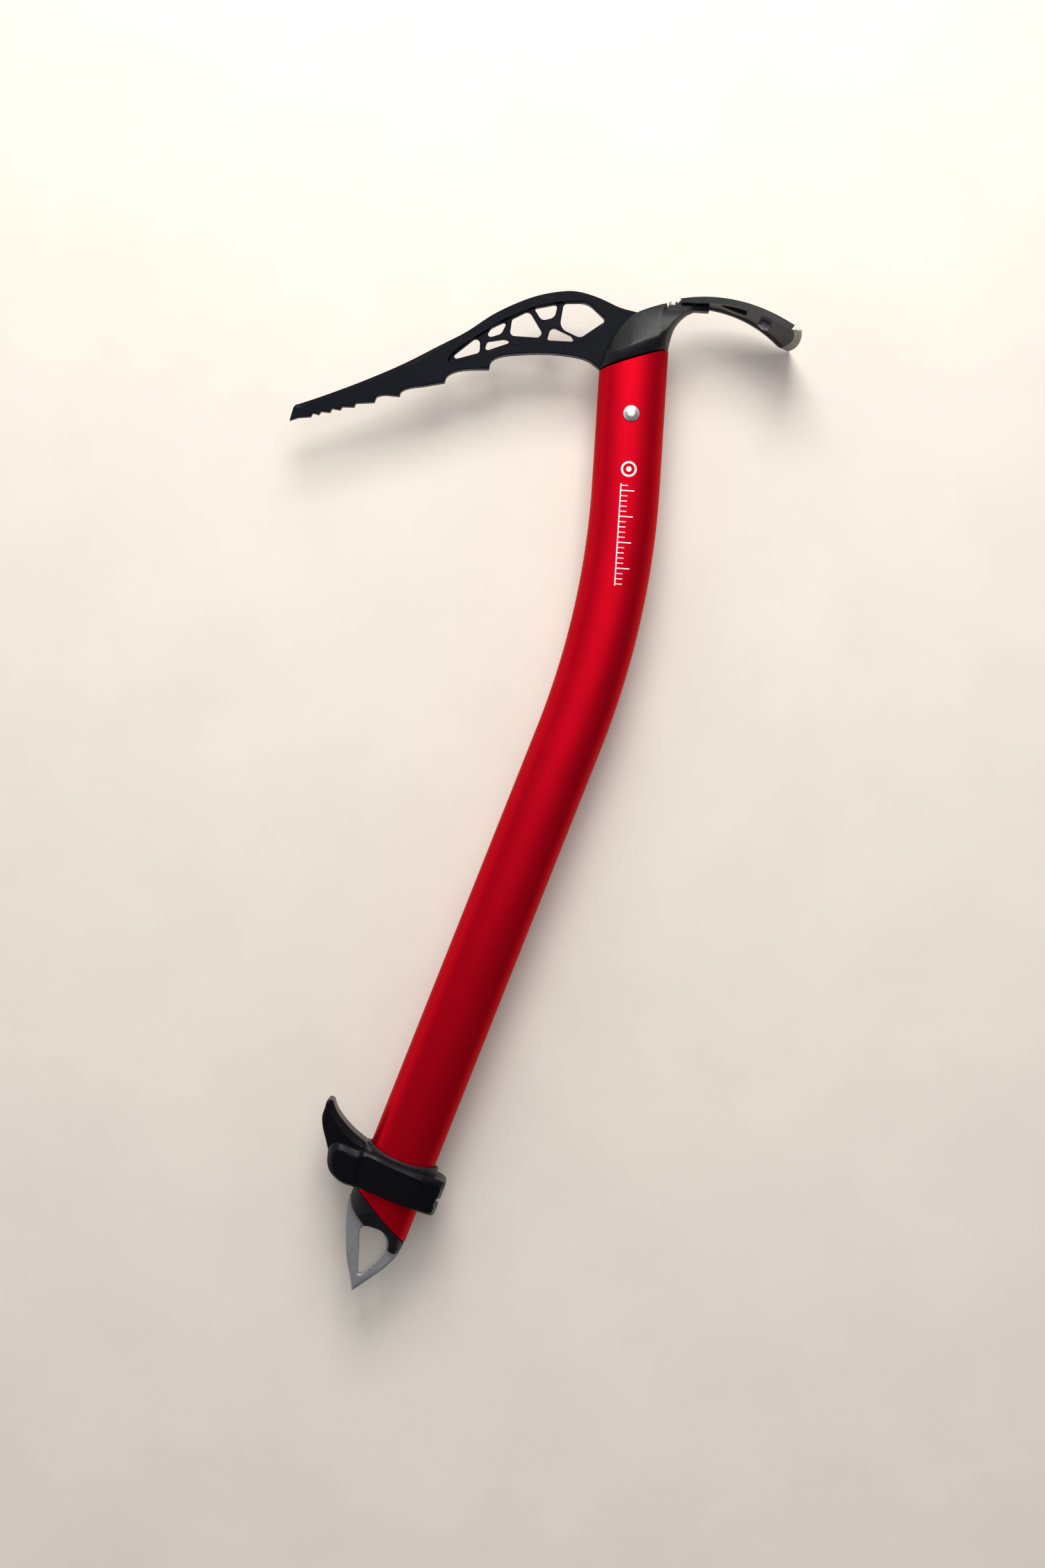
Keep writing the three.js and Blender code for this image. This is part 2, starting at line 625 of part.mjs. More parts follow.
// ---- sliding trigger rest, drawn along the lower shaft ----
function restYoke() {
  const height = REST_TOP_Y - REST_END_Y;
  // plan outline: back bumper, flat sides, fork at the front
  const plan = cornered([
    [REST_BACK_X, -10.5, 4], [REST_BACK_X, 10.5, 4], [14, REST_HALF_Z, 8],
    [-34.6, REST_HALF_Z, 4], [-34.6, -REST_HALF_Z, 4], [14, -REST_HALF_Z, 8],
  ]);
  const block = upright(plan.getPoints(), REST_END_Y, REST_TOP_Y);
  // side outline: the front rounds off about the pivot
  const profile = cornered([
    [-34.6, REST_END_Y, 8.6], [REST_BACK_X + 1, REST_END_Y, 1.5], [REST_BACK_X + 1, REST_TOP_Y, 1.5],
    [-34.6, REST_TOP_Y, 4],
  ]);
  const body = common(block, slab(profile, -20, 20));
  const bore = upright(oval(0.35 + LINER_WALL + 0.3), REST_END_Y - 1, REST_TOP_Y + 1);
  const slot = slab(
    cornered([[-40, REST_END_Y - 2], [-20.9, REST_END_Y - 2], [-20.9, REST_TOP_Y + 2],
      [-40, REST_TOP_Y + 2]]),
    -FORK_HALF_Z, FORK_HALF_Z);
  const window = new THREE.BoxGeometry(8, 10.6, 10.6).translate(-20, PIVOT_Y, 0);
  const notch = slab(cornered([[22.5, -293.6, 0.8], [22.5, -297.9, 0.8], [30, -297.9], [30, -293.6]]), -20, 20);
  const pinBore = barZ(PIVOT_R + 0.05, -20, REST_HALF_Z - 1.9, PIVOT_X, PIVOT_Y);
  const geometry = cut(body, bore, slot, window, notch, pinBore);
  return mesh("rest_yoke", geometry, restMoulding());
}

function restLiner() {
  const outer = upright(oval(0.35 + LINER_WALL), REST_END_Y + 1, LINER_TOP_Y);
  const bore = upright(oval(0.35), REST_END_Y, LINER_TOP_Y + 1);
  return mesh("rest_liner", cut(outer, bore), linerMoulding());
}

function restShoe() {
  const g = new THREE.BoxGeometry(1.6, 10, 10);
  const shoe = mesh("rest_shoe", g, satinSteel());
  shoe.position.set(-20.05, PIVOT_Y, 0);
  return shoe;
}

function restPin() {
  const low = -REST_HALF_Z + 0.3;
  const high = REST_HALF_Z - 2.2;
  const profile = [[0, low], [PIVOT_R - 0.3, low], [PIVOT_R, low + 0.3], [PIVOT_R, high - 0.3],
    [PIVOT_R - 0.3, high], [0, high]];
  const pin = mesh("rest_pin", turned(profile, 20), satinSteel());
  pin.position.set(PIVOT_X, PIVOT_Y, 0);
  return pin;
}

function restHook() {
  const s = new THREE.Shape();
  s.moveTo(-33.2, PIVOT_Y);
  s.lineTo(-34.4, -291.4);
  const outer = [[-37.3, -287.2], [-40.6, -282.6], [-43, -277.6], [-43.4, -272.6]];
  s.splineThru(outer.map(([x, y]) => new THREE.Vector2(x, y)));
  s.absarc(-41.9, -270.6, 1.9, Math.PI * 0.9, Math.PI * 0.25, true);
  const inner = [[-38, -272.3], [-33.8, -275.4], [-27, -278.9], [-21.5, -280.8], [-18.9, -281.6]];
  s.splineThru(inner.map(([x, y]) => new THREE.Vector2(x, y)));
  s.lineTo(-18.9, -284.3);
  s.lineTo(-21.3, -284.3);
  s.lineTo(-21.3, PIVOT_Y);
  s.absarc(PIVOT_X, PIVOT_Y, 5.9, 0, Math.PI, true);
  const body = slab(s, -HOOK_HALF_Z, HOOK_HALF_Z);
  const pinBore = barZ(PIVOT_R + 0.08, -20, 20, PIVOT_X, PIVOT_Y);
  return mesh("rest_hook", cut(body, pinBore), restMoulding());
}

// ---- assembly ----
const foot = new THREE.Group();
foot.name = "foot_group";
foot.position.set(0, BEND_Y, 0);
foot.rotation.z = -BEND;
foot.add(
  spikePlate(),
  spikePlug("spike_plug_front", 1),
  spikePlug("spike_plug_back", -1),
  spikePin(),
  restYoke(),
  restLiner(),
  restShoe(),
  restPin(),
  restHook(),
);

const axe = new THREE.Group();
axe.name = "axe_layout";
axe.add(
  shaftTube(),
  pickPlate(),
  headCover("head_cover_front", 1),
  headCover("head_cover_back", -1),
  headRivet(),
  adze(),
  adzeRootBolt(),
  adzeFaceScrew(),
  adzeFaceNut(),
  foot,
);

// Stand the layout on the middle of its own base.
const root = new THREE.Group();
root.name = "ice_axe";
root.add(axe);
root.updateMatrixWorld(true);
const box = new THREE.Box3().setFromObject(root, true);
axe.position.set(-(box.min.x + box.max.x) / 2, -(box.min.y + box.max.y) / 2, -box.min.z);

export default root;
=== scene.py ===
"""Technical ice axe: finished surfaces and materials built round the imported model."""

import math

import bmesh
import bpy
import numpy as np
from mathutils import Matrix, Vector
from mathutils.geometry import delaunay_2d_cdt


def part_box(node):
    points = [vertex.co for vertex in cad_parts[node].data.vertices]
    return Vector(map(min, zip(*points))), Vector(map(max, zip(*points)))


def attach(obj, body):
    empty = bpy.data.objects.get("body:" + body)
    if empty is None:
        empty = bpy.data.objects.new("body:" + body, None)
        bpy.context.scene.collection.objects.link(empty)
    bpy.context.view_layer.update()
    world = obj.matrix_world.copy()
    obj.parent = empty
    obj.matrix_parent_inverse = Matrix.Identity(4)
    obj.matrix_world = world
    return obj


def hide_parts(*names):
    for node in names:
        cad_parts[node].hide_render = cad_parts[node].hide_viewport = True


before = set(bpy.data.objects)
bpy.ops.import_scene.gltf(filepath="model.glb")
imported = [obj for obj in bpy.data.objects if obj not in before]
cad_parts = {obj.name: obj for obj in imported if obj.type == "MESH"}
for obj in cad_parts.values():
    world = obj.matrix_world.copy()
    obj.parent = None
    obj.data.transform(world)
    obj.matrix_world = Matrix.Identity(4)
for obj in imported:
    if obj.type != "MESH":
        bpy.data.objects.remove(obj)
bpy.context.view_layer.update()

bl_info = {
    "name": "Ice Axe Builder",
    "version": (1, 0, 0),
    "blender": (4, 5, 0),
    "location": "3D View > Sidebar > Ice Axe",
    "description": "Builds the pieces of a technical ice axe and its studio stage",
    "category": "Add Mesh",
}

# ---- layout: millimetres about the head rivet, +Y up the straight upper shaft ----
RIVET_LOW, RIVET_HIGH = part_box("head_rivet")
HOME = (RIVET_LOW + RIVET_HIGH) / 2
MM = 1000  # millimetres in a metre
BEND = math.radians(18.14)  # lean of the lower shaft
BEND_R = 400.0  # radius of the bend
BEND_Y = -96.6  # where the two straight centre lines would meet
HEAD_CUT = (27.0, 0.357)  # upper end of the tube: height and rise
FOOT_CUT = (-311.5, -0.542)  # lower end of the tube: height and rise
OVAL_A, OVAL_B, OVAL_NOSE = 16.5, 10.5, 9.5  # half width, half thickness and nose radius
ADZE_C = (32.5, -9.9)  # centre the adze's scoop turns about
ADZE_R = 68.99  # outer radius of the scoop
ADZE_SPAN = (math.radians(-9.8), math.radians(43.0))  # from its root to its cutting edge
RIVET_BORE, PIN_BORE = 2.85, 3.15  # radii
SPIKE_PIN_Y = -290.0  # along the lower shaft
PIVOT = (-27.2, -294.0)  # the hook's pin, along the lower shaft
SCALE_X, SCALE_Y, SCALE_HALF = -2.6, -58.5, 24.6  # printed scale: base line, middle and half length
SHORT_TICK, LONG_TICK = (2.5, 0.45, 3.2), (12.5, 0.55, 6.4)  # pitch, thickness and reach
RING_X, RING_Y, RING_R, RING_HALF, DOT_R = 0.5, -26.8, 3.3, 0.5, 1.3  # printed ring and its dot
RIM, RIM_DROP = 0.4, 0.3  # the small bevel along sheared and moulded edges
WELD, SLIVER = 2e-7, 1e-7  # metres: points closer than this are joined, edges shorter are dropped
FLOOR_HALF, FLOOR_POINTS = 2000, 37  # half its width, and how many points it has along a side
FLOOR_GAP = 0.0005  # metres between the floor and the axe
LENS, SENSOR = 50, 36
CAMERA_AT, CAMERA_ROLL = (-0.0410, -0.1811, 1.057), math.radians(3.6)  # metres from the rivet

HEAD_FRAME = Matrix.Translation(HOME) @ Matrix.Scale(1 / MM, 4)
FOOT_FRAME = HEAD_FRAME @ Matrix.Translation((0, BEND_Y, 0)) @ Matrix.Rotation(-BEND, 4, "Z")


# ---- outline drawing ----
class Pen:
    """Draws a closed outline from straight, curved and rounded stretches."""

    def __init__(self, x, y):
        self.points = [(x, y)]

    def line(self, *points):
        self.points.extend(points)
        return self

    def quad(self, cx, cy, x, y, steps=10):
        ax, ay = self.points[-1]
        for k in range(1, steps + 1):
            t = k / steps
            s = 1 - t
            self.points.append((s * s * ax + 2 * s * t * cx + t * t * x,
                                s * s * ay + 2 * s * t * cy + t * t * y))
        return self

    def spline(self, points, steps=8):
        row = [self.points[-1], *points]
        last = len(row) - 1
        for i in range(last):
            p0, p1 = row[max(i - 1, 0)], row[i]
            p2, p3 = row[i + 1], row[min(i + 2, last)]
            for k in range(1, steps + 1):
                t = k / steps
                self.points.append(tuple(catmull(t, a, b, c, d)
                                         for a, b, c, d in zip(p0, p1, p2, p3)))
        return self

    def arc(self, cx, cy, r, start, end, steps=16):
        for k in range(steps + 1):
            a = start + (end - start) * k / steps
            self.points.append((cx + r * math.cos(a), cy + r * math.sin(a)))
        return self

    def loop(self):
        return tidy_loop(np.array(self.points, float))


def catmull(t, p0, p1, p2, p3):
    """One coordinate of a smooth curve through p1 and p2."""
    v0, v1 = (p2 - p0) / 2, (p3 - p1) / 2
    return ((2 * p1 - 2 * p2 + v0 + v1) * t ** 3
            + (-3 * p1 + 3 * p2 - 2 * v0 - v1) * t * t + v0 * t + p1)


def tidy_loop(p, least=0.02):
    """Drops repeated points and turns the loop anticlockwise."""
    keep = np.linalg.norm(p - np.roll(p, 1, 0), axis=1) > least
    p = p[keep]
    area = np.sum(p[:, 0] * np.roll(p[:, 1], -1) - np.roll(p[:, 0], -1) * p[:, 1])
    return p if area > 0 else p[::-1].copy()


def cornered(corners, steps=10):
    """A polygon given as (x, y, radius), each corner rounded with an arc."""
    out = []
    for i, (x, y, r) in enumerate(corners):
        p = np.array((x, y), float)
        a = np.array(corners[i - 1][:2], float) - p
        b = np.array(corners[(i + 1) % len(corners)][:2], float) - p
        a, b = a / np.linalg.norm(a), b / np.linalg.norm(b)
        if r <= 0:
            out.append(p)
            continue
        half = math.acos(max(-1.0, min(1.0, float(a @ b)))) / 2
        mid = (a + b) / np.linalg.norm(a + b)
        centre = p + mid * r / math.sin(half)
        start = p + a * r / math.tan(half) - centre
        turn = math.pi - 2 * half
        side = 1 if a[0] * b[1] - a[1] * b[0] < 0 else -1
        for k in range(steps + 1):
            t = side * turn * k / steps
            c, s = math.cos(t), math.sin(t)
            out.append(centre + (start[0] * c - start[1] * s, start[0] * s + start[1] * c))
    return tidy_loop(np.array(out))


def resample(loop, step):
    """The same closed loop with points no further apart than step."""
    out = []
    for a, b in zip(loop, np.roll(loop, -1, 0)):
        n = max(1, int(math.ceil(np.linalg.norm(b - a) / step)))
        out.extend(a + (b - a) * k / n for k in range(n))
    return np.array(out)


def inset(loop, amount):
    """The loop moved inwards by amount, one value or one per point; a negative value grows it."""
    before, after = loop - np.roll(loop, 1, 0), np.roll(loop, -1, 0) - loop
    before /= np.linalg.norm(before, axis=1)[:, None]
    after /= np.linalg.norm(after, axis=1)[:, None]
    n0 = np.stack([-before[:, 1], before[:, 0]], 1)
    n1 = np.stack([-after[:, 1], after[:, 0]], 1)
    mid = n0 + n1
    mid /= np.maximum(np.linalg.norm(mid, axis=1), 1e-6)[:, None]
    reach = 1 / np.maximum(np.sum(mid * n1, 1), 0.55)
    return loop + mid * (np.asarray(amount) * reach)[..., None]


def inside(points, loop):
    """Which points lie inside the loop."""
    x, y = points[:, 0][:, None], points[:, 1][:, None]
    ax, ay = loop[:, 0], loop[:, 1]
    bx, by = np.roll(ax, -1), np.roll(ay, -1)
    crosses = (ay > y) != (by > y)
    at = ax + (y - ay) * (bx - ax) / np.where(by == ay, 1e-12, by - ay)
    return (np.sum(crosses & (x < at), 1) % 2) == 1


def distance(points, line, closed=True):
    """Least distance from each point to the line."""
    a = line if closed else line[:-1]
    b = np.roll(line, -1, 0) if closed else line[1:]
    best = np.full(len(points), 1e9)
    for p, q in zip(a, b):
        d = q - p
        t = np.clip((points - p) @ d / max(float(d @ d), 1e-12), 0, 1)
        best = np.minimum(best, np.linalg.norm(points - p - t[:, None] * d, axis=1))
    return best


def stretch(loop, keep):
    """The run of a loop's points for which keep is true, in order."""
    starts = np.flatnonzero(keep & ~np.roll(keep, 1))
    turned_on = np.roll(keep, -starts[0])
    count = len(keep) if turned_on.all() else int(np.argmin(turned_on))
    return np.roll(loop, -starts[0], 0)[:count]


def fill(outer, holes=(), extra=None, lines=()):
    """Triangles over the area between loops; returns the points and index triples."""
    loops = [outer, *holes]
    points, edges = [], []
    for loop in loops:
        n, at = len(loop), len(points)
        points.extend(map(Vector, loop))
        edges.extend((at + k, at + (k + 1) % n) for k in range(n))
    for line in lines:
        at = len(points)
        points.extend(map(Vector, line))
        edges.extend((at + k, at + k + 1) for k in range(len(line) - 1))
    if extra is not None:
        points.extend(map(Vector, extra))
    made, _, faces, source, _, _ = delaunay_2d_cdt(points, edges, [], 1, 1e-6)
    coords = np.array([tuple(v) for v in made])
    tri = np.array([tuple(f) for f in faces])
    middle = coords[tri].mean(1)
    good = inside(middle, outer)
    for hole in holes:
        good &= ~inside(middle, hole)
    back = [s[0] if s else -1 for s in source]
    return coords, tri[good], back


# ---- mesh building ----
class Body:
    """Collects vertices and faces of one closed skin."""

    def __init__(self):
        self.verts, self.faces, self.slots = [], [], []

    def ring(self, xy, z):
        at = len(self.verts)
        z = np.broadcast_to(z, len(xy))
        self.verts.extend((float(p[0]), float(p[1]), float(h)) for p, h in zip(xy, z))
        return np.arange(at, at + len(xy))

    def strip(self, a, b, slot=0, closed=True):
        n = len(a)
        for k in range(n if closed else n - 1):
            j = (k + 1) % n
            self.face(slot, a[k], a[j], b[j], b[k])

    def face(self, slot, *index):
        self.faces.append(tuple(int(i) for i in index))
        self.slots.append(slot)

    def cap(self, ring):
        """Fills the flat area inside a ring."""
        _, tri, back = fill(np.array([self.verts[i][:2] for i in ring]))
        for t in tri:
            self.face(0, *(ring[back[i]] for i in t))

    def object(self, name, place, sharp=32.0):
        mesh = bpy.data.meshes.new(name)
        mesh.from_pydata([place @ Vector(v) for v in self.verts], [], self.faces)
        mesh.polygons.foreach_set("material_index", self.slots)
        finish_mesh(mesh, sharp)
        piece = bpy.data.objects.new(name, mesh)
        bpy.context.scene.collection.objects.link(piece)
        return piece


def finish_mesh(mesh, sharp):
    """Faces out, smooth shading, and crisp edges where the surface turns sharply."""
    bm = bmesh.new()
    bm.from_mesh(mesh)
    bmesh.ops.remove_doubles(bm, verts=bm.verts, dist=WELD)
    bmesh.ops.dissolve_degenerate(bm, edges=bm.edges, dist=SLIVER)
    bmesh.ops.recalc_face_normals(bm, faces=bm.faces)
    limit = math.radians(sharp)
    for f in bm.faces:
        f.smooth = True
    for e in bm.edges:
        e.smooth = not (len(e.link_faces) == 2 and e.calc_face_angle(0) > limit)
    bm.to_mesh(mesh)
    bm.free()
    mesh.update()


def combine(base, tool, how):
    """Joins a second closed piece to the first, or cuts it away, and removes the second."""
    step = base.modifiers.new(how, "BOOLEAN")
    step.operation, step.object, step.solver = how, tool, "EXACT"
    dg = bpy.context.evaluated_depsgraph_get()
    mesh = bpy.data.meshes.new_from_object(base.evaluated_get(dg))
    base.modifiers.clear()
    base.data = mesh
    bpy.data.objects.remove(tool)


def fit(piece, finishes, body, nodes, slot, *others):
    """Gives a piece its finish and hangs it on its body in place of its nodes."""
    materials = [finishes[name] for name in (slot, *others)]
    slots = np.zeros(len(piece.data.polygons), dtype=np.int32)
    piece.data.polygons.foreach_get("material_index", slots)
    piece.data.materials.clear()
    for material in materials:
        piece.data.materials.append(material)
    piece.data.polygons.foreach_set("material_index", np.minimum(slots, len(materials) - 1))
    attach(piece, body)
    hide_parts(*nodes)


def prism(name, loop, low, high, place, axis="Z"):
    """A plain closed slab used to join or cut; axis Y takes the loop as X and Z."""
    body = Body()
    rings = [body.ring(loop, low), body.ring(loop, high)]
    body.strip(rings[0], rings[1])
    for r in rings:
        body.cap(r)
    if axis == "Y":
        body.verts = [(x, z, y) for x, y, z in body.verts]
    return body.object(name, place)


def circle(r, sides, x=0.0, y=0.0, start=0.0):
    a = start + np.arange(sides) * 2 * math.pi / sides
    return np.stack([x + r * np.cos(a), y + r * np.sin(a)], 1)


def turned(name, profile, place, sides=64):
    """A turned piece about Z from (radius, height) pairs."""
    body = Body()
    rings = [body.ring(circle(max(r, 1e-3), sides), h) for r, h in profile]
    for p, q in zip(rings, rings[1:]):
        body.strip(p, q)
    body.face(0, *rings[0])
    body.face(0, *rings[-1])
    return body.object(name, place)


# ---- the shaft's section and centre line ----
def oval(offset=0.0, steps=24):
    """Four-arc oval in X and Z."""
    a, b, r = OVAL_A + offset, OVAL_B + offset, OVAL_NOSE + offset
    cx = a - r
    big = (cx * cx + b * b - r * r) / (2 * (b - r))
    nose = math.atan2(big - b, cx)
    out = []
    for ox, oy, radius, start, end in ((cx, 0, r, -nose, nose),
                                       (0, b - big, big, nose, math.pi - nose),
                                       (-cx, 0, r, math.pi - nose, math.pi + nose),
                                       (0, big - b, big, math.pi + nose, 2 * math.pi - nose)):
        for k in range(steps):
            t = start + (end - start) * k / steps
            out.append((ox + radius * math.cos(t), oy + radius * math.sin(t)))
    return np.array(out)


def oval_height(x, offset=0.0):
    """Half thickness of the shaft's oval at x."""
    a, b, r = OVAL_A + offset, OVAL_B + offset, OVAL_NOSE + offset
    cx = a - r
    big = (cx * cx + b * b - r * r) / (2 * (b - r))
    nose = math.atan2(big - b, cx)
    split = cx + r * math.cos(nose)
    ax = np.abs(np.asarray(x, float))
    flat = np.sqrt(np.maximum(big * big - ax * ax, 0)) - (big - b)
    ends = np.sqrt(np.maximum(r * r - (ax - cx) ** 2, 0))
    return np.where(ax < split, flat, ends)


def shaft_rings(offset, trim=0.0):
    """Rings of the tube from head to foot; trim shortens both ends."""
    ring = oval(offset)
    x, z = ring[:, 0], ring[:, 1]
    out = [np.stack([x, HEAD_CUT[0] - trim + HEAD_CUT[1] * x, z], 1)]
    reach = BEND_R * math.tan(BEND / 2)
    for y in np.linspace(18, BEND_Y + reach + 3, 8):
        out.append(np.stack([x, np.full_like(x, y), z], 1))
    for lean in np.linspace(0, BEND, 33):
        px = -BEND_R * (1 - math.cos(lean))
        py = BEND_Y + reach - BEND_R * math.sin(lean)
        out.append(np.stack([px + x * math.cos(lean), py - x * math.sin(lean), z], 1))
    c, s = math.cos(BEND), math.sin(BEND)
    for y in np.linspace(-reach - 4, -298, 24):
        out.append(np.stack([x * c + y * s, BEND_Y - x * s + y * c, z], 1))
    y = FOOT_CUT[0] + trim + FOOT_CUT[1] * x
    out.append(np.stack([x * c + y * s, BEND_Y - x * s + y * c, z], 1))
    return out


def relief(name, place, outer, holes, top, bottom, rings=(), grid=1.0, sharp=32.0, creases=()):
    """A plate whose two faces follow height rules over a flat outline."""
    low, high = outer.min(0), outer.max(0)
    xs = np.arange(low[0] + grid / 2, high[0], grid)
    ys = np.arange(low[1] + grid / 2, high[1], grid)
    points = np.array(np.meshgrid(xs, ys)).reshape(2, -1).T
    points = points[inside(points, outer)]
    for hole in holes:
        points = points[~inside(points, hole)]
    for loop in (outer, *holes, *rings):
        points = points[distance(points, loop) > grid * 0.4]
    for line in creases:
        points = points[distance(points, line, False) > grid * 0.4]
    lines = [np.vstack([r, r[:1]]) for r in rings] + list(creases)
    coords, tri, _ = fill(outer, holes, points, lines)
    used, tri = np.unique(tri, return_inverse=True)
    tri = tri.reshape(-1, 3)
    coords = coords[used]
    body = Body()
    over = body.ring(coords, top(coords))
    under = body.ring(coords, bottom(coords))
    sides = {}
    for a, b, c in tri:
        body.face(0, over[a], over[b], over[c])
        body.face(0, under[c], under[b], under[a])
        for i, j in ((a, b), (b, c), (c, a)):
            if (j, i) in sides:
                del sides[j, i]
            else:
                sides[i, j] = True
    for i, j in sides:
        body.face(0, over[j], over[i], under[i], under[j])
    return body.object(name, place, sharp)


def slope(d, width, drop):
    """How far a bevel of this width has fallen at distance d from its edge."""
    return drop * np.clip(1 - d / width, 0, 1)


def ease(t):
    t = np.clip(t, 0, 1)
    return t * t * (3 - 2 * t)


# ---- shaft ----
def build_shaft(finishes, sizes):
    wall = sizes.tube_wall * MM
    rings_out, rings_soft = shaft_rings(0, 0.3), shaft_rings(-0.3)
    rings_in, rings_near = shaft_rings(-wall, 0.2), shaft_rings(0.2 - wall)
    order = [rings_soft[0], *rings_out, rings_soft[-1], rings_near[-1], *rings_in[::-1], rings_near[0]]
    body = Body()
    rings = [body.ring(p[:, :2], p[:, 2]) for p in order]
    for a, b in zip(rings, rings[1:] + rings[:1]):
        body.strip(a, b)
    piece = body.object("shaft", HEAD_FRAME, sharp=50)
    rivet_bore = turned("rivet_bore", [(RIVET_BORE, -20), (RIVET_BORE, 20)], HEAD_FRAME)
    pin_bore = turned("pin_bore", [(PIN_BORE, -20), (PIN_BORE, 20)],
                      FOOT_FRAME @ Matrix.Translation((0, SPIKE_PIN_Y, 0)))
    combine(piece, rivet_bore, "DIFFERENCE")
    combine(piece, pin_bore, "DIFFERENCE")
    finish_mesh(piece.data, 35)
    fit(piece, finishes, "axe", ["shaft_tube"], "red_anodised")


# ---- head plate with pick ----
SMALL_TEETH = ((-154.7, -9.8, -153.8, -8.0), (-150.9, -8.6, -149.9, -7.0), (-145.5, -7.1, -144.6, -5.2),
               (-140.7, -5.6, -139.7, -4.0), (-134.1, -3.8, -133.2, -1.9))
LARGE_TEETH = ((-124.4, -0.9, -123.4, 1.8, -120.5, 3.4, -116, 2.9),
               (-112.3, 2.8, -112, 4.6, -110.5, 7.1, -102, 8.2),
               (-91, 10.8, -90.4, 13.2, -88, 17.3, -77, 18.1),
               (-69.8, 18.6, -69.5, 21.5, -68, 25, -60.2, 26.2))
CREST = ((-8.4, 52.1), (-18.4, 56), (-28, 58.38), (-36, 58.28), (-47, 55.8), (-57, 51.8), (-69.5, 44.9),
         (-81.8, 35.8), (-94.3, 28.4), (-112, 18.2), (-131.8, 8.4), (-150, 0.4), (-161, -4))
WINDOWS = (
    ((-91, 21, 1.2), (-74.9, 26.3, 2), (-75.1, 35.2, 2)),
    ((-73, 33.1, 1.4), (-65, 36, 3.5), (-62, 42.8, 1), (-70, 38.6, 4)),
    ((-72.8, 27, 1.2), (-59, 32.6, 0.9), (-63.5, 33.6, 3), (-71.6, 31.9, 1.5)),
    ((-60.9, 35.4, 2.2), (-43.4, 35.3, 2.4), (-52.2, 48.2, 2.6), (-60.2, 43.6, 1.6)),
    ((-49.8, 49.3, 0.8), (-45.8, 43.6, 3), (-39.6, 45.6, 3.5), (-38.5, 52.2, 1.2)),
    ((-42.7, 34.3, 1), (-29, 34.5, 0.9), (-31.2, 37.2, 2), (-41.2, 41.3, 2.4)),
    ((-37, 40.6, 5), (-26.6, 36.4, 3.4), (-14.6, 45.6, 1.6), (-24.2, 53.6, 7), (-35.6, 52.8, 2)),
)


def toothed_edge():
    """The working edge from the point to the head end of the last scoop."""
    pen = Pen(-164.8, -12.2).line((-160.8, -10.6))
    for tx, ty, nx, ny in SMALL_TEETH:
        pen.line((tx, ty), (nx, ny))
    for tx, ty, nx, ny, qx, qy, ex, ey in LARGE_TEETH:
        pen.line((tx, ty), (nx, ny)).quad(qx, qy, ex, ey)
    return pen


def pick_outline():
    pen = toothed_edge()
    pen.line((-51, 27.4)).spline([(-40, 28), (-29, 27.3), (-22, 25.6), (-16.3, 21.8)])
    pen.line((-12, 23.3), (-12, -21)).quad(-12, -24, -9, -24).line((9, -24)).quad(12, -24, 12, -21)
    pen.line((12, 31)).quad(13, 44, 20.5, 50).quad(24, 52.9, 29, 52.9).line((34.8, 52.9))
    reach = ADZE_R - 2.7
    start, end = (math.acos((x - ADZE_C[0]) / reach) for x in (34.8, 21.6))
    pen.arc(*ADZE_C, reach, start, end, 6)
    pen.line((21.6, 52.7), (13, 52.7)).quad(6, 51, 0.4, 50.3).spline(CREST)
    pen.quad(-163, -4.6, -163.5, -6.5)
    return pen.loop()


def pocket_outline():
    pen = Pen(-90.2, 21.4)
    pen.spline([(-88.8, 24.1), (-84.6, 28.6), (-75.3, 35.2), (-62.9, 43.6), (-50.3, 49.7),
                (-37.6, 53.1), (-28, 54), (-21.4, 52), (-16, 47.4), (-15.2, 44.6)])
    pen.spline([(-17.8, 41.3), (-23.6, 36.3), (-30, 33), (-39.5, 32.4), (-52.4, 31.4),
                (-63.6, 29), (-74.6, 25), (-84.1, 20.9), (-88.6, 19.7), (-90.2, 21.4)])
    return pen.loop()


def build_pick(finishes, sizes):
    outer = resample(pick_outline(), 1.2)
    crest = np.array(Pen(0.4, 50.3).spline(CREST).points)
    crest = crest[crest[:, 0] < -88]
    pocket = resample(pocket_outline(), 1.0)
    holes = [resample(cornered(w), 0.8) for w in WINDOWS]
    plate, floor_depth, bevel = (sizes.head_plate / 2 * MM, sizes.pocket_depth * MM, sizes.crest_bevel * MM)

    def face(p):
        half = np.interp(p[:, 0], [-170, -62], [1.7, plate])
        ground = ease((-90 - p[:, 0]) / 22)
        half = half - np.maximum(slope(distance(p, outer), RIM, RIM_DROP),
                                 slope(distance(p, crest, False), bevel, bevel * 0.63) * ground)
        sunk = np.where(inside(p, pocket), distance(p, pocket), 0)
        half -= floor_depth * ease(sunk / 0.7)
        for hole in holes:
            half -= slope(distance(p, hole), 0.35, 0.22)
        return np.maximum(half, 0.25)

    rings = [inset(outer, RIM), pocket, inset(pocket, 0.35), inset(pocket, 0.7)]
    rings += [inset(h, -0.35) for h in holes]
    ground_line = inset(outer, bevel)
    along_crest = (distance(ground_line, crest, False) < bevel + 0.1) & (ground_line[:, 0] > -158)
    piece = relief("pick_plate_finished", HEAD_FRAME, outer, holes, face, lambda p: -face(p),
                   rings, 1.0, 32, [stretch(ground_line, along_crest)])
    fit(piece, finishes, "axe", ["pick_plate"], "black_steel")


# ---- head covers ----
RIDGE = np.array(Pen(-15.4, 30.6).spline(
    [(-13.4, 29.4), (-11.0, 29.2), (-7.4, 30.2), (-1.2, 32.9), (5.1, 35.6), (10.1, 37.6),
     (12.5, 39.5), (14.9, 42.2), (17.3, 45.6), (20.9, 49.7), (26.3, 54.4)], 5).points)


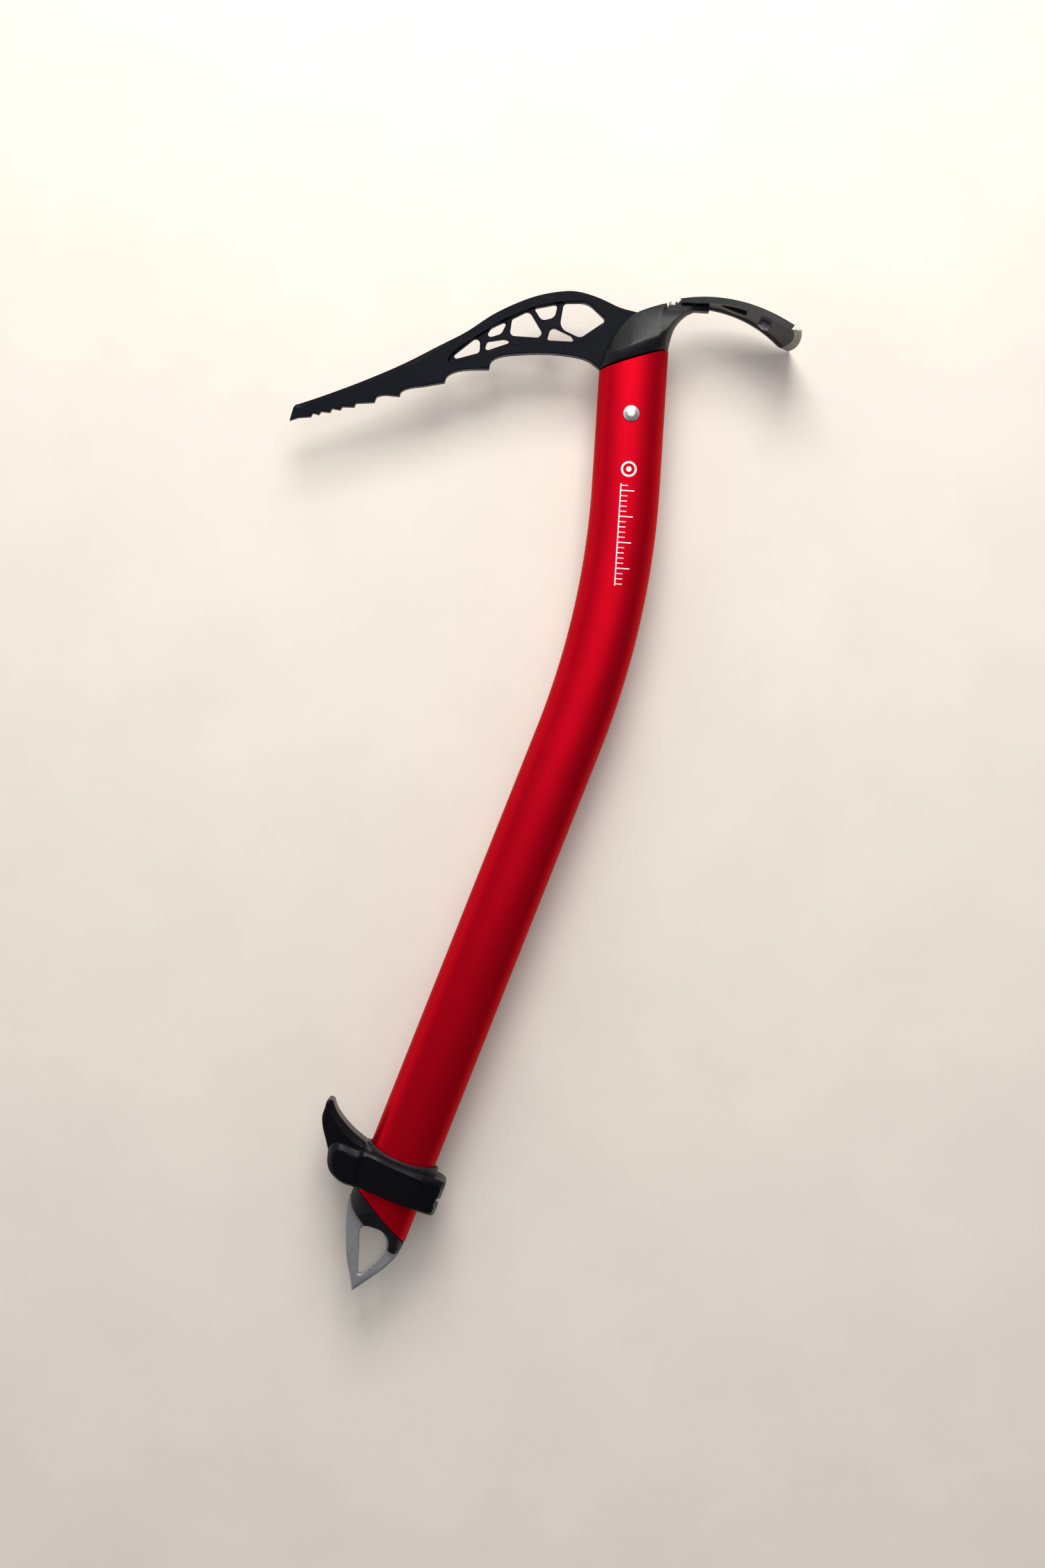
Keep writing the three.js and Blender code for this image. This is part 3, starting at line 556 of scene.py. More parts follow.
def cover_outline():
    pen = Pen(0.4, 50.1)
    pen.spline([(-4.9, 46.3), (-10, 39.9), (-12.8, 33.9), (-15.3, 26.9), (-16.1, 22)])
    pen.line((16.3, 33.5)).spline([(16.9, 37.5), (18.6, 43.6), (21.2, 47.7), (24.2, 50.6), (26.8, 52)])
    pen.line((26.2, 54.6), (21.6, 54.4), (21.2, 52.6), (14.7, 52.6), (14, 55.1)).quad(7, 53.2, 0.4, 50.1)
    return pen.loop()


def build_covers(finishes, sizes):
    outer = resample(cover_outline(), 0.7)
    plate = inset(resample(pick_outline(), 1.2), -0.15)
    low_side = ((np.abs(outer[:, 1] - HEAD_CUT[0] - HEAD_CUT[1] * outer[:, 0]) < 1.3)
                | ((outer[:, 0] > 16.2) & (outer[:, 1] < 52.1)))
    under, upper = stretch(outer, low_side), stretch(outer, ~low_side)
    arc = stretch(outer, (outer[:, 0] < 0.5) & ~low_side)

    def face(p):
        x, y = p[:, 0], p[:, 1]
        ridge = np.interp(x, [-16.4, -13.2, -8, -2, 5, 11.4, 16.7, 22, 26.4],
                          [5.2, 8.6, 10.9, 11.9, 11.9, 11.2, 9.7, 7.8, 6.2])
        to_ridge = distance(p, RIDGE, False)
        above = y > np.interp(x, RIDGE[:, 0], RIDGE[:, 1])
        to_edge = np.where(above, distance(p, upper, False), distance(p, under, False))
        run = to_ridge / np.maximum(to_ridge + to_edge, 1e-6)
        rear = np.interp(x, [14.5, 16.4], [0, 1])
        skin = oval_height(np.clip(x, -16.4, 16.4)) * (1 - rear) + 0.7 * rear
        edge = np.where(above, np.interp(x, [-14, -8, 14], [4.6, 4.9, 5.6]), skin)
        fall = np.where(above, run ** 1.15, run ** 1.5)
        tall = ridge + (edge - ridge) * fall - slope(distance(p, outer), RIM, RIM_DROP)
        return np.maximum(tall - slope(distance(p, arc, False), 1.4, 0.7), 0.5)

    def back(p):
        return np.where(inside(p, plate), 3.05, 0.15)

    for name, node, side in (("head_cover_near", "head_cover_front", 1),
                             ("head_cover_far", "head_cover_back", -1)):
        place = HEAD_FRAME @ Matrix.Diagonal((1, 1, side, 1))
        piece = relief(name, place, outer, (), lambda p: np.maximum(face(p), back(p) + 0.3), back,
                       [inset(outer, RIM)], 0.7, 26, [RIDGE])
        fit(piece, finishes, "axe", [node], "black_moulding")


# ---- rivets, bolts and pins ----
def about_y(x, y, degrees=0.0):
    """Places a turned piece on its end at x, y, its axis turned clockwise from +Y."""
    return (HEAD_FRAME @ Matrix.Translation((x, y, 0)) @ Matrix.Rotation(-math.radians(degrees), 4, "Z")
            @ Matrix.Rotation(-math.pi / 2, 4, "X"))


def mirrored(profile):
    """A profile given from its middle outwards, repeated on the other side."""
    return [(r, -h) for r, h in profile[::-1]] + list(profile)


def build_fixings(finishes, sizes):
    rise = sizes.rivet_dome * MM
    dome = [(4.05 * math.cos(a), 10.75 + rise * math.sin(a)) for a in np.linspace(0, 1.52, 12)]
    rivet = turned("head_rivet_finished", mirrored([(2.7, 10.55), (3.9, 10.6), *dome]), HEAD_FRAME)
    fit(rivet, finishes, "axe", ["head_rivet"], "bright_alloy")
    end = [(3.0, 9.9), (2.9, 10.2), (2.6, 10.4), (0, 10.4)]
    pin = turned("spike_pin_finished", mirrored(end), FOOT_FRAME @ Matrix.Translation((0, SPIKE_PIN_Y, 0)))
    fit(pin, finishes, "axe", ["spike_pin"], "satin_steel")
    bolt = [(0, -8.5), (1.3, -8.5), (1.55, -8.2), (1.55, 0.1), (2.3, 0.1), (2.4, 0.25), (2.4, 1.5),
            (2.25, 1.85), (1.9, 2), (1.3, 2), (1.2, 1.9), (1.2, 1), (0, 1)]
    root = turned("adze_root_bolt_finished", bolt, about_y(17.6, 54.85))
    fit(root, finishes, "axe", ["adze_root_bolt"], "satin_steel")
    seat = ADZE_R + 0.1
    screw = [(r, seat + h) for r, h in (
        (0, -5.6), (1.4, -5.6), (1.55, -5.4), (1.55, 0), (2.9, 0), (3, 0.15), (2.8, 0.75), (2.3, 1.1),
        (1.6, 1.2), (1.3, 1.1), (1.3, 0.5), (0, 0.5))]
    face_screw = turned("adze_face_screw_finished", screw, about_y(*ADZE_C, 26.9))
    fit(face_screw, finishes, "axe", ["adze_face_screw"], "satin_steel")
    hexagon = resample(circle(3.1, 6, start=0.2), 0.5)
    bore = circle(1.9, 32)
    base = ADZE_R - 2.6

    def low(p):
        r = np.linalg.norm(p, axis=1)
        return base - 2.4 + np.clip(r - 2.6, 0, 1) * 0.6

    nut = relief("adze_face_nut_finished", about_y(*ADZE_C, 26.9), hexagon, [bore],
                 lambda p: np.full(len(p), base), low, (), 0.5)
    fit(nut, finishes, "axe", ["adze_face_nut"], "satin_steel")


# ---- adze ----
def build_adze(finishes, sizes):
    """Sweeps a lipped section from the adze's root to its edge, where it thins to the ground bevel."""
    body = Body()
    across, stations, edge_rows = 41, 70, 12
    s = np.linspace(-1, 1, across)
    s = np.sign(s) * np.abs(s) ** 0.75
    rings = []
    for k in range(stations + edge_rows + 1):
        start, finish = 0.946 - 0.045 * s ** 2, 1 - 0.04 * s ** 2
        t = start * k / stations if k <= stations else start + (finish - start) * (k - stations) / edge_rows
        w = 5 + 14 * t + 6 * t ** 3 + 1.24 * (t / 0.96) ** 8
        z = s * w
        end, root = ease((t - 0.86) / 0.14), 1 - ease(t / 0.12)
        plate = 2.4 + (0.35 - 2.4) * end
        wall = np.minimum(2.3, w / 3)
        lip = sizes.adze_lip * MM * (1 - end) * (1 - root)
        thick = plate + lip * ease((np.abs(z) - (w - wall - 1.2)) / 1.2)
        brink = slope(w - np.abs(z), 1.0, 0.35) * (1 - end)
        turn = ADZE_SPAN[0] + (ADZE_SPAN[1] - ADZE_SPAN[0]) * t
        row = []
        for r, step in ((ADZE_R - brink, 1), (ADZE_R - thick, -1)):
            row.append(np.stack([ADZE_C[0] + r * np.sin(turn), ADZE_C[1] + r * np.cos(turn), z], 1)[::step])
        p = np.vstack(row)
        rings.append(body.ring(p[:, :2], p[:, 2]))
    for k, (a, b) in enumerate(zip(rings, rings[1:])):
        body.strip(a, b, slot=1 if k >= stations else 0)
    for ring in (rings[0], rings[-1]):
        for j in range(across - 1):
            body.face(1 if ring is rings[-1] else 0, ring[j], ring[j + 1],
                      ring[2 * across - 2 - j], ring[2 * across - 1 - j])
    piece = body.object("adze_finished", HEAD_FRAME, sharp=30)
    piece.data.materials.append(finishes["black_alloy"])
    piece.data.materials.append(finishes["ground_edge"])
    tongue = np.array([(15.1, 53.0), (21.3, 53.0), (21.3, 56.9), (20.1, 56.9), (20.1, 54.8), (15.1, 54.8)])
    rib = cornered([(40.5, 57.4, 0), (40.5, 56, 0), (46.7, 53.7, 6), (53, 51.9, 0.6), (53, 55.2, 0)])
    combine(piece, prism("tongue", tidy_loop(tongue), -2.9, 2.9, HEAD_FRAME), "UNION")
    combine(piece, prism("rib", rib, -2.3, 2.3, HEAD_FRAME), "UNION")
    finish_mesh(piece.data, 30)
    fit(piece, finishes, "axe", ["adze"], "black_alloy", "ground_edge")


# ---- spike and its plugs, drawn along the lower shaft ----
def build_spike(finishes, sizes):
    pen = Pen(-11.5, -264).line((-11.5, -305.9), (-16.6, -303.2), (-17, -308))
    pen.spline([(-16.4, -313), (-12.7, -324.4), (-7.6, -336.3), (-1, -347.6), (1.4, -351.8)])
    pen.line((8.4, -341.4)).quad(15.4, -331, 15.9, -325).line((16.2, -321.1), (11.5, -318.6), (11.5, -264))
    outer = resample(pen.loop(), 1.2)
    clip = resample(cornered([(-7.8, -318.8, 4.5), (13.5, -318.8, 8.5), (1.6, -344.5, 1)], 14), 0.8)
    bore = circle(PIN_BORE, 40, y=SPIKE_PIN_Y)

    def face(p):
        d = distance(p, outer)
        point = ease((-334 - p[:, 1]) / 12)
        return (2.0 - np.maximum(slope(d, 0.25, 0.15), slope(d, 1.1, 0.5) * point)
                - slope(distance(p, clip), 0.25, 0.15))

    plate = relief("spike_plate_finished", FOOT_FRAME, outer, [clip, bore], face, lambda p: -face(p),
                   [inset(outer, 0.25), inset(outer, 1.1), inset(clip, -0.25)], 1.2)
    fit(plate, finishes, "axe", ["spike_plate"], "satin_steel")

    pen = Pen(-14.3, -297).line((-14.3, -303.9), (-16.2, -302.9), (-16.2, -308.6))
    pen.quad(-15.6, -311.6, -12, -314.4)
    pen.line((-4.9, -319.3)).quad(-2.8, -318.3, 3.2, -318.3).quad(9.6, -319.6, 9.9, -326.4)
    pen.quad(15.6, -329.6, 16.1, -321.1).line((16.1, -320.5), (14.3, -319.5), (14.3, -297))
    plug = resample(pen.loop(), 0.6)

    def cheek(p):
        cut = p[:, 1] - FOOT_CUT[0] - FOOT_CUT[1] * p[:, 0]
        under = oval_height(np.clip(p[:, 0], -16.1, 16.1), -0.3)
        up = oval_height(np.clip(p[:, 0], -14.5, 14.5), -1.9)
        skin = under + (up - under) * ease((cut + 0.37) / 0.24)
        ramp = np.interp(p[:, 1], [-331, -308], [4.6, 11])
        tall = np.minimum(skin, ramp) - slope(distance(p, plug), 0.5, 0.4)
        return np.maximum(tall, 2.35)

    seam = np.array([(x, FOOT_CUT[0] + FOOT_CUT[1] * x - 0.25) for x in np.linspace(-13.9, 14.1, 40)])
    for name, node, side in (("spike_plug_near", "spike_plug_front", 1),
                             ("spike_plug_far", "spike_plug_back", -1)):
        place = FOOT_FRAME @ Matrix.Diagonal((1, 1, side, 1))
        piece = relief(name, place, plug, (), cheek, lambda p: np.full(len(p), 2.2), [inset(plug, 0.5)],
                       0.8, 28, [seam + (0, 0.12), seam - (0, 0.12)])
        fit(piece, finishes, "axe", [node], "black_moulding")


# ---- sliding trigger rest, drawn along the lower shaft ----
def build_rest(finishes, sizes):
    pen = Pen(-33.6, -293.8)
    pen.spline([(-34.6, -290.6), (-34.2, -287.7), (-32.1, -286), (-28.8, -285.3), (-24.6, -285.4),
                (-19.9, -285.2), (-15.5, -284.4), (-9, -284.5), (-2, -284.9), (8, -285), (18, -284.8),
                (23.2, -285.3), (24.6, -286.8)])
    pen.line((24.6, -300.8)).quad(24.5, -302.3, 22.8, -302.5).spline(
        [(9, -302.6), (-5, -302.4), (-16, -302.6), (-21, -303), (-25.4, -302.2), (-29.6, -300),
         (-32.3, -296.9), (-33.6, -293.8)])
    side = resample(pen.loop(), 0.8)
    pen = Pen(-30.8, -294.4)
    pen.spline([(-31.7, -291.6), (-31, -289.3), (-28.9, -288.2), (-26.2, -288.1), (-22.5, -288.4),
                (-18.8, -287.8), (-15.9, -286.5), (-12.4, -286.4), (-7.5, -286.8), (-1, -287.2),
                (13, -287.6), (21.4, -287.8)])
    pen.quad(23, -288, 23, -290).line((23, -299.6)).quad(23, -301.3, 21.2, -301.4).spline(
        [(9, -301.6), (-5, -301.4), (-16, -301.6), (-21.3, -301.9), (-25.2, -301.1), (-28.4, -298.9),
         (-30.8, -294.4)])
    flat = resample(pen.loop(), 0.8)
    waist = np.array([(-17.1 - 0.124 * (y + 286.9), y) for y in np.linspace(-286.2, -301.4, 16)])

    def face(p):
        plan = np.interp(p[:, 0], [-34.6, -34.2, -33.2, -31.6, -29.6, 9, 13, 17, 20.5, 22.6, 23.9, 24.6],
                         [9.4, 11.6, 13.1, 14.1, 14.5, 14.5, 14.2, 13.2, 11.9, 10.7, 9.2, 6.8])
        out = distance(p, side)
        rim = np.where(inside(p, flat), 0, distance(p, flat) / np.maximum(distance(p, flat) + out, 1e-6))
        along = p[:, 0] + 17.1 + 0.124 * (p[:, 1] + 286.9)
        dip = np.where(along < 0, ease(1 + along / 2.6), ease(1 - along / 8.5))
        return plan - 1.5 * rim - sizes.band_waist * MM * dip - slope(out, RIM, RIM_DROP)

    yoke = relief("rest_yoke_finished", FOOT_FRAME, side, (), face, lambda p: -face(p),
                  [flat, inset(side, RIM)], 1.0, 26, [waist])
    notch = cornered([(22.5, -293.6, 0.8), (22.5, -297.9, 0.8), (30, -297.9, 0), (30, -293.6, 0)])
    tools = [
        prism("bore", oval(2.25), -310, -275, FOOT_FRAME, "Y"),
        prism("slot", cornered([(-40, -305, 0), (-20.9, -305, 0), (-20.9, -282, 0), (-40, -282, 0)]),
              -9, 9, FOOT_FRAME),
        prism("window", cornered([(-24, -299.3, 0), (-16, -299.3, 0), (-16, -288.7, 0), (-24, -288.7, 0)]),
              -5.3, 5.3, FOOT_FRAME),
        prism("notch", notch, -20, 20, FOOT_FRAME),
        turned("pin_room", [(2.55, -20), (2.55, 12.6)], FOOT_FRAME @ Matrix.Translation((*PIVOT, 0))),
    ]
    for tool in tools:
        combine(yoke, tool, "DIFFERENCE")
    finish_mesh(yoke.data, 28)
    fit(yoke, finishes, "rest", ["rest_yoke"], "rest_moulding")

    body = Body()
    rows = [(1.95, -301.4, 0), (1.95, -284.6, 0), (2.1, -284.2, 0.4), (2.1, -283.7, 1), (1.9, -283.2, 1),
            (1.5, -283.0, 1), (0.6, -283.0, 1), (0.35, -283.3, 1), (0.35, -301.2, 0), (0.55, -301.4, 0)]
    rings = []
    for offset, y, scallop in rows:
        ring = oval(offset)
        lift = np.where(ring[:, 0] < 0, 2.1, 1.8) * ease(np.abs(ring[:, 0]) / 17) ** 2
        rings.append(body.ring(np.stack([ring[:, 0], y + scallop * lift], 1), ring[:, 1]))
    for a, b in zip(rings, rings[1:] + rings[:1]):
        body.strip(a, b)
    liner = body.object("rest_liner_finished", FOOT_FRAME, sharp=40)
    pen = Pen(-18.6, -281.7).spline([(-15.4, -282.2), (-12.6, -283), (-10.6, -284.2)], 5)
    chin = pen.line((-10.6, -286.5), (-18.6, -286.5)).loop()

    def chin_face(p):
        return 9.4 - slope(distance(p, chin), 2, 1.6)

    chin_piece = relief("chin", FOOT_FRAME, resample(chin, 0.7), (), chin_face,
                        lambda p: -chin_face(p), (), 0.8)
    combine(chin_piece, prism("bore", oval(0.36), -310, -275, FOOT_FRAME, "Y"), "DIFFERENCE")
    combine(liner, chin_piece, "UNION")
    finish_mesh(liner.data, 32)
    fit(liner, finishes, "rest", ["rest_liner"], "liner_moulding")

    pad = cornered([(-5, -5, 1.2), (5, -5, 1.2), (5, 5, 1.2), (-5, 5, 1.2)])
    place = FOOT_FRAME @ Matrix.Translation((-20.05, -294, 0)) @ Matrix.Rotation(math.pi / 2, 4, "Y")

    def pad_face(p):
        return 0.8 - slope(distance(p, pad), RIM, RIM_DROP)

    shoe = relief("rest_shoe_finished", place, resample(pad, 1), (), pad_face, lambda p: -pad_face(p),
                  [inset(resample(pad, 1), RIM)], 1.0)
    fit(shoe, finishes, "rest", ["rest_shoe"], "satin_steel")

    profile = [(0, -14.2), (2.2, -14.2), (2.5, -13.9), (2.5, 12.0), (2.2, 12.3), (0, 12.3)]
    pin = turned("rest_pin_finished", profile, FOOT_FRAME @ Matrix.Translation((*PIVOT, 0)))
    fit(pin, finishes, "rest", ["rest_pin"], "satin_steel")


# ---- finger hook, drawn along the lower shaft ----
HOLLOW = ((-38, -272.3), (-33.8, -275.4), (-27, -278.9), (-21.5, -280.8))


def build_hook(finishes, sizes):
    pen = Pen(-33.1, -294).line((-34.4, -291.4))
    pen.spline([(-37.3, -287.2), (-40.6, -282.6), (-43, -277.6), (-43.4, -272.6)])
    pen.arc(-41.9, -270.6, 1.9, math.pi * 0.9, math.pi * 0.25, 12)
    pen.spline([*HOLLOW, (-18.72, -281.6)])
    pen.line((-18.72, -284.3), (-21.3, -284.3), (-21.3, -294)).arc(*PIVOT, 5.9, 0, -math.pi, 24)
    outer = resample(pen.loop(), 0.7)
    bore = circle(2.58, 32, *PIVOT)
    hollow = np.array(Pen(-41.4, -268.9).spline([*HOLLOW, (-18.9, -281.6)], 6).points)
    brow = np.array(Pen(-42.3, -270.6).spline(
        [(-40.3, -273.7), (-36.7, -277), (-32.9, -279.5), (-28.6, -281.8), (-23.6, -283.7),
         (-18.95, -284.2)], 6).points)

    def face(p):
        to_hollow, to_brow = distance(p, hollow, False), distance(p, brow, False)
        outside = p[:, 1] > np.interp(p[:, 0], brow[:, 0], brow[:, 1])
        run = np.where(outside, to_brow / np.maximum(to_brow + to_hollow, 1e-6), 0)
        return 8.6 - sizes.hook_bevel * MM * run ** 0.8 - slope(distance(p, outer), 0.5, 0.4)

    piece = relief("rest_hook_finished", FOOT_FRAME, outer, [bore], face, lambda p: -face(p),
                   [inset(outer, 0.5)], 0.8, 24, [brow])
    fit(piece, finishes, "hook", ["rest_hook"], "rest_moulding")


# ---- finishes ----
class Nodes:
    """Short hand for wiring one material's nodes."""

    def __init__(self, name):
        self.material = bpy.data.materials.get(name) or bpy.data.materials.new(name)
        self.material.use_nodes = True
        self.tree = self.material.node_tree
        self.tree.nodes.clear()
        self.shader = self.add("ShaderNodeBsdfPrincipled")
        output = self.add("ShaderNodeOutputMaterial")
        self.tree.links.new(self.shader.outputs["BSDF"], output.inputs["Surface"])
        self.place = self.add("ShaderNodeTexCoord").outputs["Object"]

    def add(self, kind, **settings):
        node = self.tree.nodes.new(kind)
        for key, value in settings.items():
            setattr(node, key, value)
        return node

    def link(self, source, target):
        self.tree.links.new(source, target)

    def noise(self, scale, detail=4.0, roughness=0.55, stretch=(1, 1, 1)):
        """Grain of a size in millimetres, drawn out along an axis where stretch is under 1."""
        node = self.add("ShaderNodeTexNoise")
        node.inputs["Scale"].default_value = MM / scale
        node.inputs["Detail"].default_value = detail
        node.inputs["Roughness"].default_value = roughness
        mapping = self.add("ShaderNodeMapping")
        mapping.inputs["Scale"].default_value = stretch
        self.link(self.place, mapping.inputs["Vector"])
        self.link(mapping.outputs["Vector"], node.inputs["Vector"])
        return node.outputs["Fac"]

    def ramp(self, source, low, high, start=0.35, end=0.65):
        """Turns grain into a range of colours, or of greys when given single numbers."""
        node = self.add("ShaderNodeValToRGB")
        for stop, at, value in zip(node.color_ramp.elements, (start, end), (low, high)):
            stop.position = at
            stop.color = (*value, 1) if isinstance(value, tuple) else (value, value, value, 1)
        self.link(source, node.inputs["Fac"])
        return node.outputs["Color"]

    def maths(self, operation, a, b=0.0, c=0.0):
        node = self.add("ShaderNodeMath", operation=operation)
        for socket, value in zip(node.inputs, (a, b, c)):
            if isinstance(value, (int, float)):
                socket.default_value = value
            else:
                self.link(value, socket)
        return node.outputs[0]

    def blend(self, factor, a, b):
        node = self.add("ShaderNodeMix", data_type="RGBA")
        self.link(factor, node.inputs["Factor"])
        for socket, value in ((node.inputs["A"], a), (node.inputs["B"], b)):
            if isinstance(value, tuple):
                socket.default_value = (*value, 1)
            else:
                self.link(value, socket)
        return node.outputs["Result"]

    def bump(self, source, height, strength=0.3):
        node = self.add("ShaderNodeBump")
        node.inputs["Distance"].default_value = height / MM
        node.inputs["Strength"].default_value = strength
        self.link(source, node.inputs["Height"])
        self.link(node.outputs["Normal"], self.shader.inputs["Normal"])

    def set(self, **values):
        for key, value in values.items():
            socket = self.shader.inputs[key.replace("_", " ")]
            if isinstance(value, (int, float)):
                socket.default_value = value
            else:
                self.link(value, socket)


def printed_scale(n):
    """Mask for the white graduation printed down the near face of the upper shaft."""
    split = n.add("ShaderNodeSeparateXYZ")
    n.link(n.place, split.inputs[0])
    x = n.maths("MULTIPLY_ADD", split.outputs["X"], MM, -HOME.x * MM)
    y = n.maths("MULTIPLY_ADD", split.outputs["Y"], MM, -HOME.y * MM)
    near = n.maths("GREATER_THAN", split.outputs["Z"], HOME.z + 0.006)

    def band(value, middle, half):
        return n.maths("LESS_THAN", n.maths("ABSOLUTE", n.maths("SUBTRACT", value, middle)), half)

    def ticks(pitch, thick, reach):
        phase = n.maths("FRACT", n.maths("DIVIDE", n.maths("ADD", y, 400), pitch))
        row = n.maths("LESS_THAN", phase, thick / pitch)
        return n.maths("MULTIPLY", row, band(x, SCALE_X + reach / 2, reach / 2))

    span = band(y, SCALE_Y, SCALE_HALF)
    marks = n.maths("MAXIMUM", ticks(*SHORT_TICK), ticks(*LONG_TICK))
    marks = n.maths("MULTIPLY", n.maths("MAXIMUM", marks, band(x, SCALE_X - 0.2, 0.28)), span)
    dx, dy = n.maths("SUBTRACT", x, RING_X), n.maths("SUBTRACT", y, RING_Y)
    far = n.maths("SQRT", n.maths("ADD", n.maths("MULTIPLY", dx, dx), n.maths("MULTIPLY", dy, dy)))
    ring = n.maths("MAXIMUM", band(far, RING_R, RING_HALF), n.maths("LESS_THAN", far, DOT_R))
    return n.maths("MULTIPLY", n.maths("MAXIMUM", marks, ring), near)


def shade(colour, strength):
    return tuple(min(1.0, channel * strength) for channel in colour)


def anodised(colour, print_colour):
    """Coloured anodised tube with a fine metallic grain and the printed scale."""
    n = Nodes("red_anodised_finish")
    mask = printed_scale(n)
    tone = n.ramp(n.noise(26, 3), shade(colour, 0.957), shade(colour, 1.043))
    sparkle = n.ramp(n.noise(0.3, 2), shade(colour, 0.74), shade(colour, 1.3), 0.3, 0.7)
    metal = n.blend(n.maths("MULTIPLY", n.noise(0.5, 1), 0.6), tone, sparkle)
    n.set(Base_Color=n.blend(mask, metal, tuple(print_colour)))
    n.set(Metallic=n.maths("MULTIPLY_ADD", mask, -0.7, 0.74))
    n.set(Roughness=n.ramp(n.noise(1.1, 5), 0.33, 0.40), Specular_IOR_Level=0.25)
    n.shader.inputs["Specular Tint"].default_value = (0.95, 0.16, 0.18, 1)
    n.bump(n.noise(0.35, 3, 0.6, (1, 0.35, 1)), 0.02, 0.25)
    return n.material


def coated(name, colour, rough, grain, depth, gloss):
    """Coated metal or moulded plastic with a fine grain and faint cloudy wear."""
    n = Nodes(name)
    n.set(Base_Color=n.ramp(n.noise(1.6, 8, 0.7), shade(colour, 0.65), shade(colour, 1.35)))
    n.set(Roughness=n.ramp(n.noise(0.9, 6), rough - 0.04, rough + 0.05))
    n.set(Specular_IOR_Level=gloss)
    n.bump(n.noise(grain, 3, 0.65), depth, 0.4)
    return n.material


def brushed(name, colour, rough, stretch, depth):
    """Bare metal with a fine brushed grain along one axis."""
    n = Nodes(name)
    grain = n.noise(0.35, 4, 0.6, stretch)
    n.set(Base_Color=n.ramp(n.noise(0.8, 6, 0.7), shade(colour, 0.86), shade(colour, 1.14)), Metallic=1.0)
    n.set(Roughness=n.ramp(grain, rough - 0.06, rough + 0.08))
    n.bump(grain, depth, 0.3)
    return n.material


# moulded and coated finishes: name, colour setting, roughness, grain and its depth in millimetres, gloss
COATINGS = (("black_steel", "pick", 0.33, 0.3, 0.02, 0.07),
            ("black_moulding", "covers", 0.38, 0.35, 0.04, 0.25),
            ("black_alloy", "adze", 0.42, 0.3, 0.02, 0.26),
            ("rest_moulding", "rest", 0.32, 0.4, 0.03, 0.14),
            ("liner_moulding", "sleeve", 0.42, 0.5, 0.03, 0.3))
# bare metals: name, colour setting, roughness, how the grain is drawn out, its depth in millimetres
METALS = (("satin_steel", "spike", 0.44, (1, 0.6, 1), 0.015),
          ("bright_alloy", "rivet", 0.30, (0.6, 1, 1), 0.002),
          ("ground_edge", "cutting_edge", 0.34, (1, 0.1, 1), 0.4))


def library(colours):
    finishes = {"red_anodised": anodised(colours.shaft, colours.print)}
    for make, table in ((coated, COATINGS), (brushed, METALS)):
        for name, setting, *rest in table:
            finishes[name] = make(name + "_finish", getattr(colours, setting), *rest)
    return finishes


# ---- studio ----
def build_studio(settings):
    scene = bpy.context.scene
    body = Body()
    line = np.linspace(-FLOOR_HALF, FLOOR_HALF, FLOOR_POINTS)
    rows = [body.ring(np.stack([line, np.full(FLOOR_POINTS, y)], 1), 0) for y in line]
    for a, b in zip(rows, rows[1:]):
        body.strip(a, b, closed=False)
    floor = body.object("studio_floor", Matrix.Translation((0, 0, -FLOOR_GAP)) @ Matrix.Scale(1 / MM, 4))
    n = Nodes("studio_floor_finish")
    n.set(Base_Color=n.ramp(n.noise(60, 3), shade(settings.floor, 0.98), shade(settings.floor, 1.02)),
          Specular_IOR_Level=0.2)
    n.set(Roughness=n.ramp(n.noise(4, 4), 0.75, 0.85))
    floor.data.materials.append(n.material)

    world = bpy.data.worlds.new("studio_world")
    world.use_nodes = True
    tree = world.node_tree
    backdrop = tree.nodes["Background"]
    sky = tree.nodes.new("ShaderNodeTexCoord").outputs["Generated"]
    aim, lift = tree.nodes.new("ShaderNodeVectorMath"), tree.nodes.new("ShaderNodeMath")
    ramp = tree.nodes.new("ShaderNodeValToRGB")
    aim.operation, lift.operation = "DOT_PRODUCT", "ADD"
    aim.inputs[1].default_value = (-0.2, 0.35, -0.6)
    lift.inputs[1].default_value = 0.5
    tree.links.new(sky, aim.inputs[0])
    tree.links.new(aim.outputs["Value"], lift.inputs[0])
    tree.links.new(lift.outputs[0], ramp.inputs["Fac"])
    tree.links.new(ramp.outputs["Color"], backdrop.inputs["Color"])
    low, high = ramp.color_ramp.elements
    low.position, low.color = 0.0, (0.13, 0.13, 0.14, 1)
    high.position, high.color = 0.9, (1, 0.99, 0.97, 1)
    backdrop.inputs["Strength"].default_value = settings.fill
    scene.world = world
    for name, place, target, size, energy, tint in (
            ("key", (-0.05, 0.86, 0.76), (0, 0.1, 0), 0.55, settings.lamp, (1.0, 0.98, 0.95)),
            ("overhead", (0.05, 0.42, 1.3), (0.02, 0.1, 0), 0.85, settings.overhead, (1.0, 1.0, 1.0)),
    ):
        lamp = bpy.data.objects.new(name, bpy.data.lights.new(name, "AREA"))
        lamp.data.size, lamp.data.energy, lamp.data.color = size, energy, tint
        lamp.location = place
        lamp.rotation_euler = (Vector(target) - Vector(place)).to_track_quat("-Z", "Y").to_euler()
        scene.collection.objects.link(lamp)

    camera = bpy.data.objects.new("camera", bpy.data.cameras.new("camera"))
    camera.data.sensor_fit, camera.data.sensor_height, camera.data.lens = "VERTICAL", SENSOR, LENS
    camera.data.dof.use_dof = False
    camera.location = HOME + Vector(CAMERA_AT)
    camera.rotation_euler = (0, 0, CAMERA_ROLL)
    scene.collection.objects.link(camera)
    scene.camera = camera
    scene.view_settings.view_transform = "Standard"


# ---- add-on ----
def length(name, description, default, low, high):
    return bpy.props.FloatProperty(name=name, description=description, default=default,
                                   min=low, max=high, unit="LENGTH", precision=4)


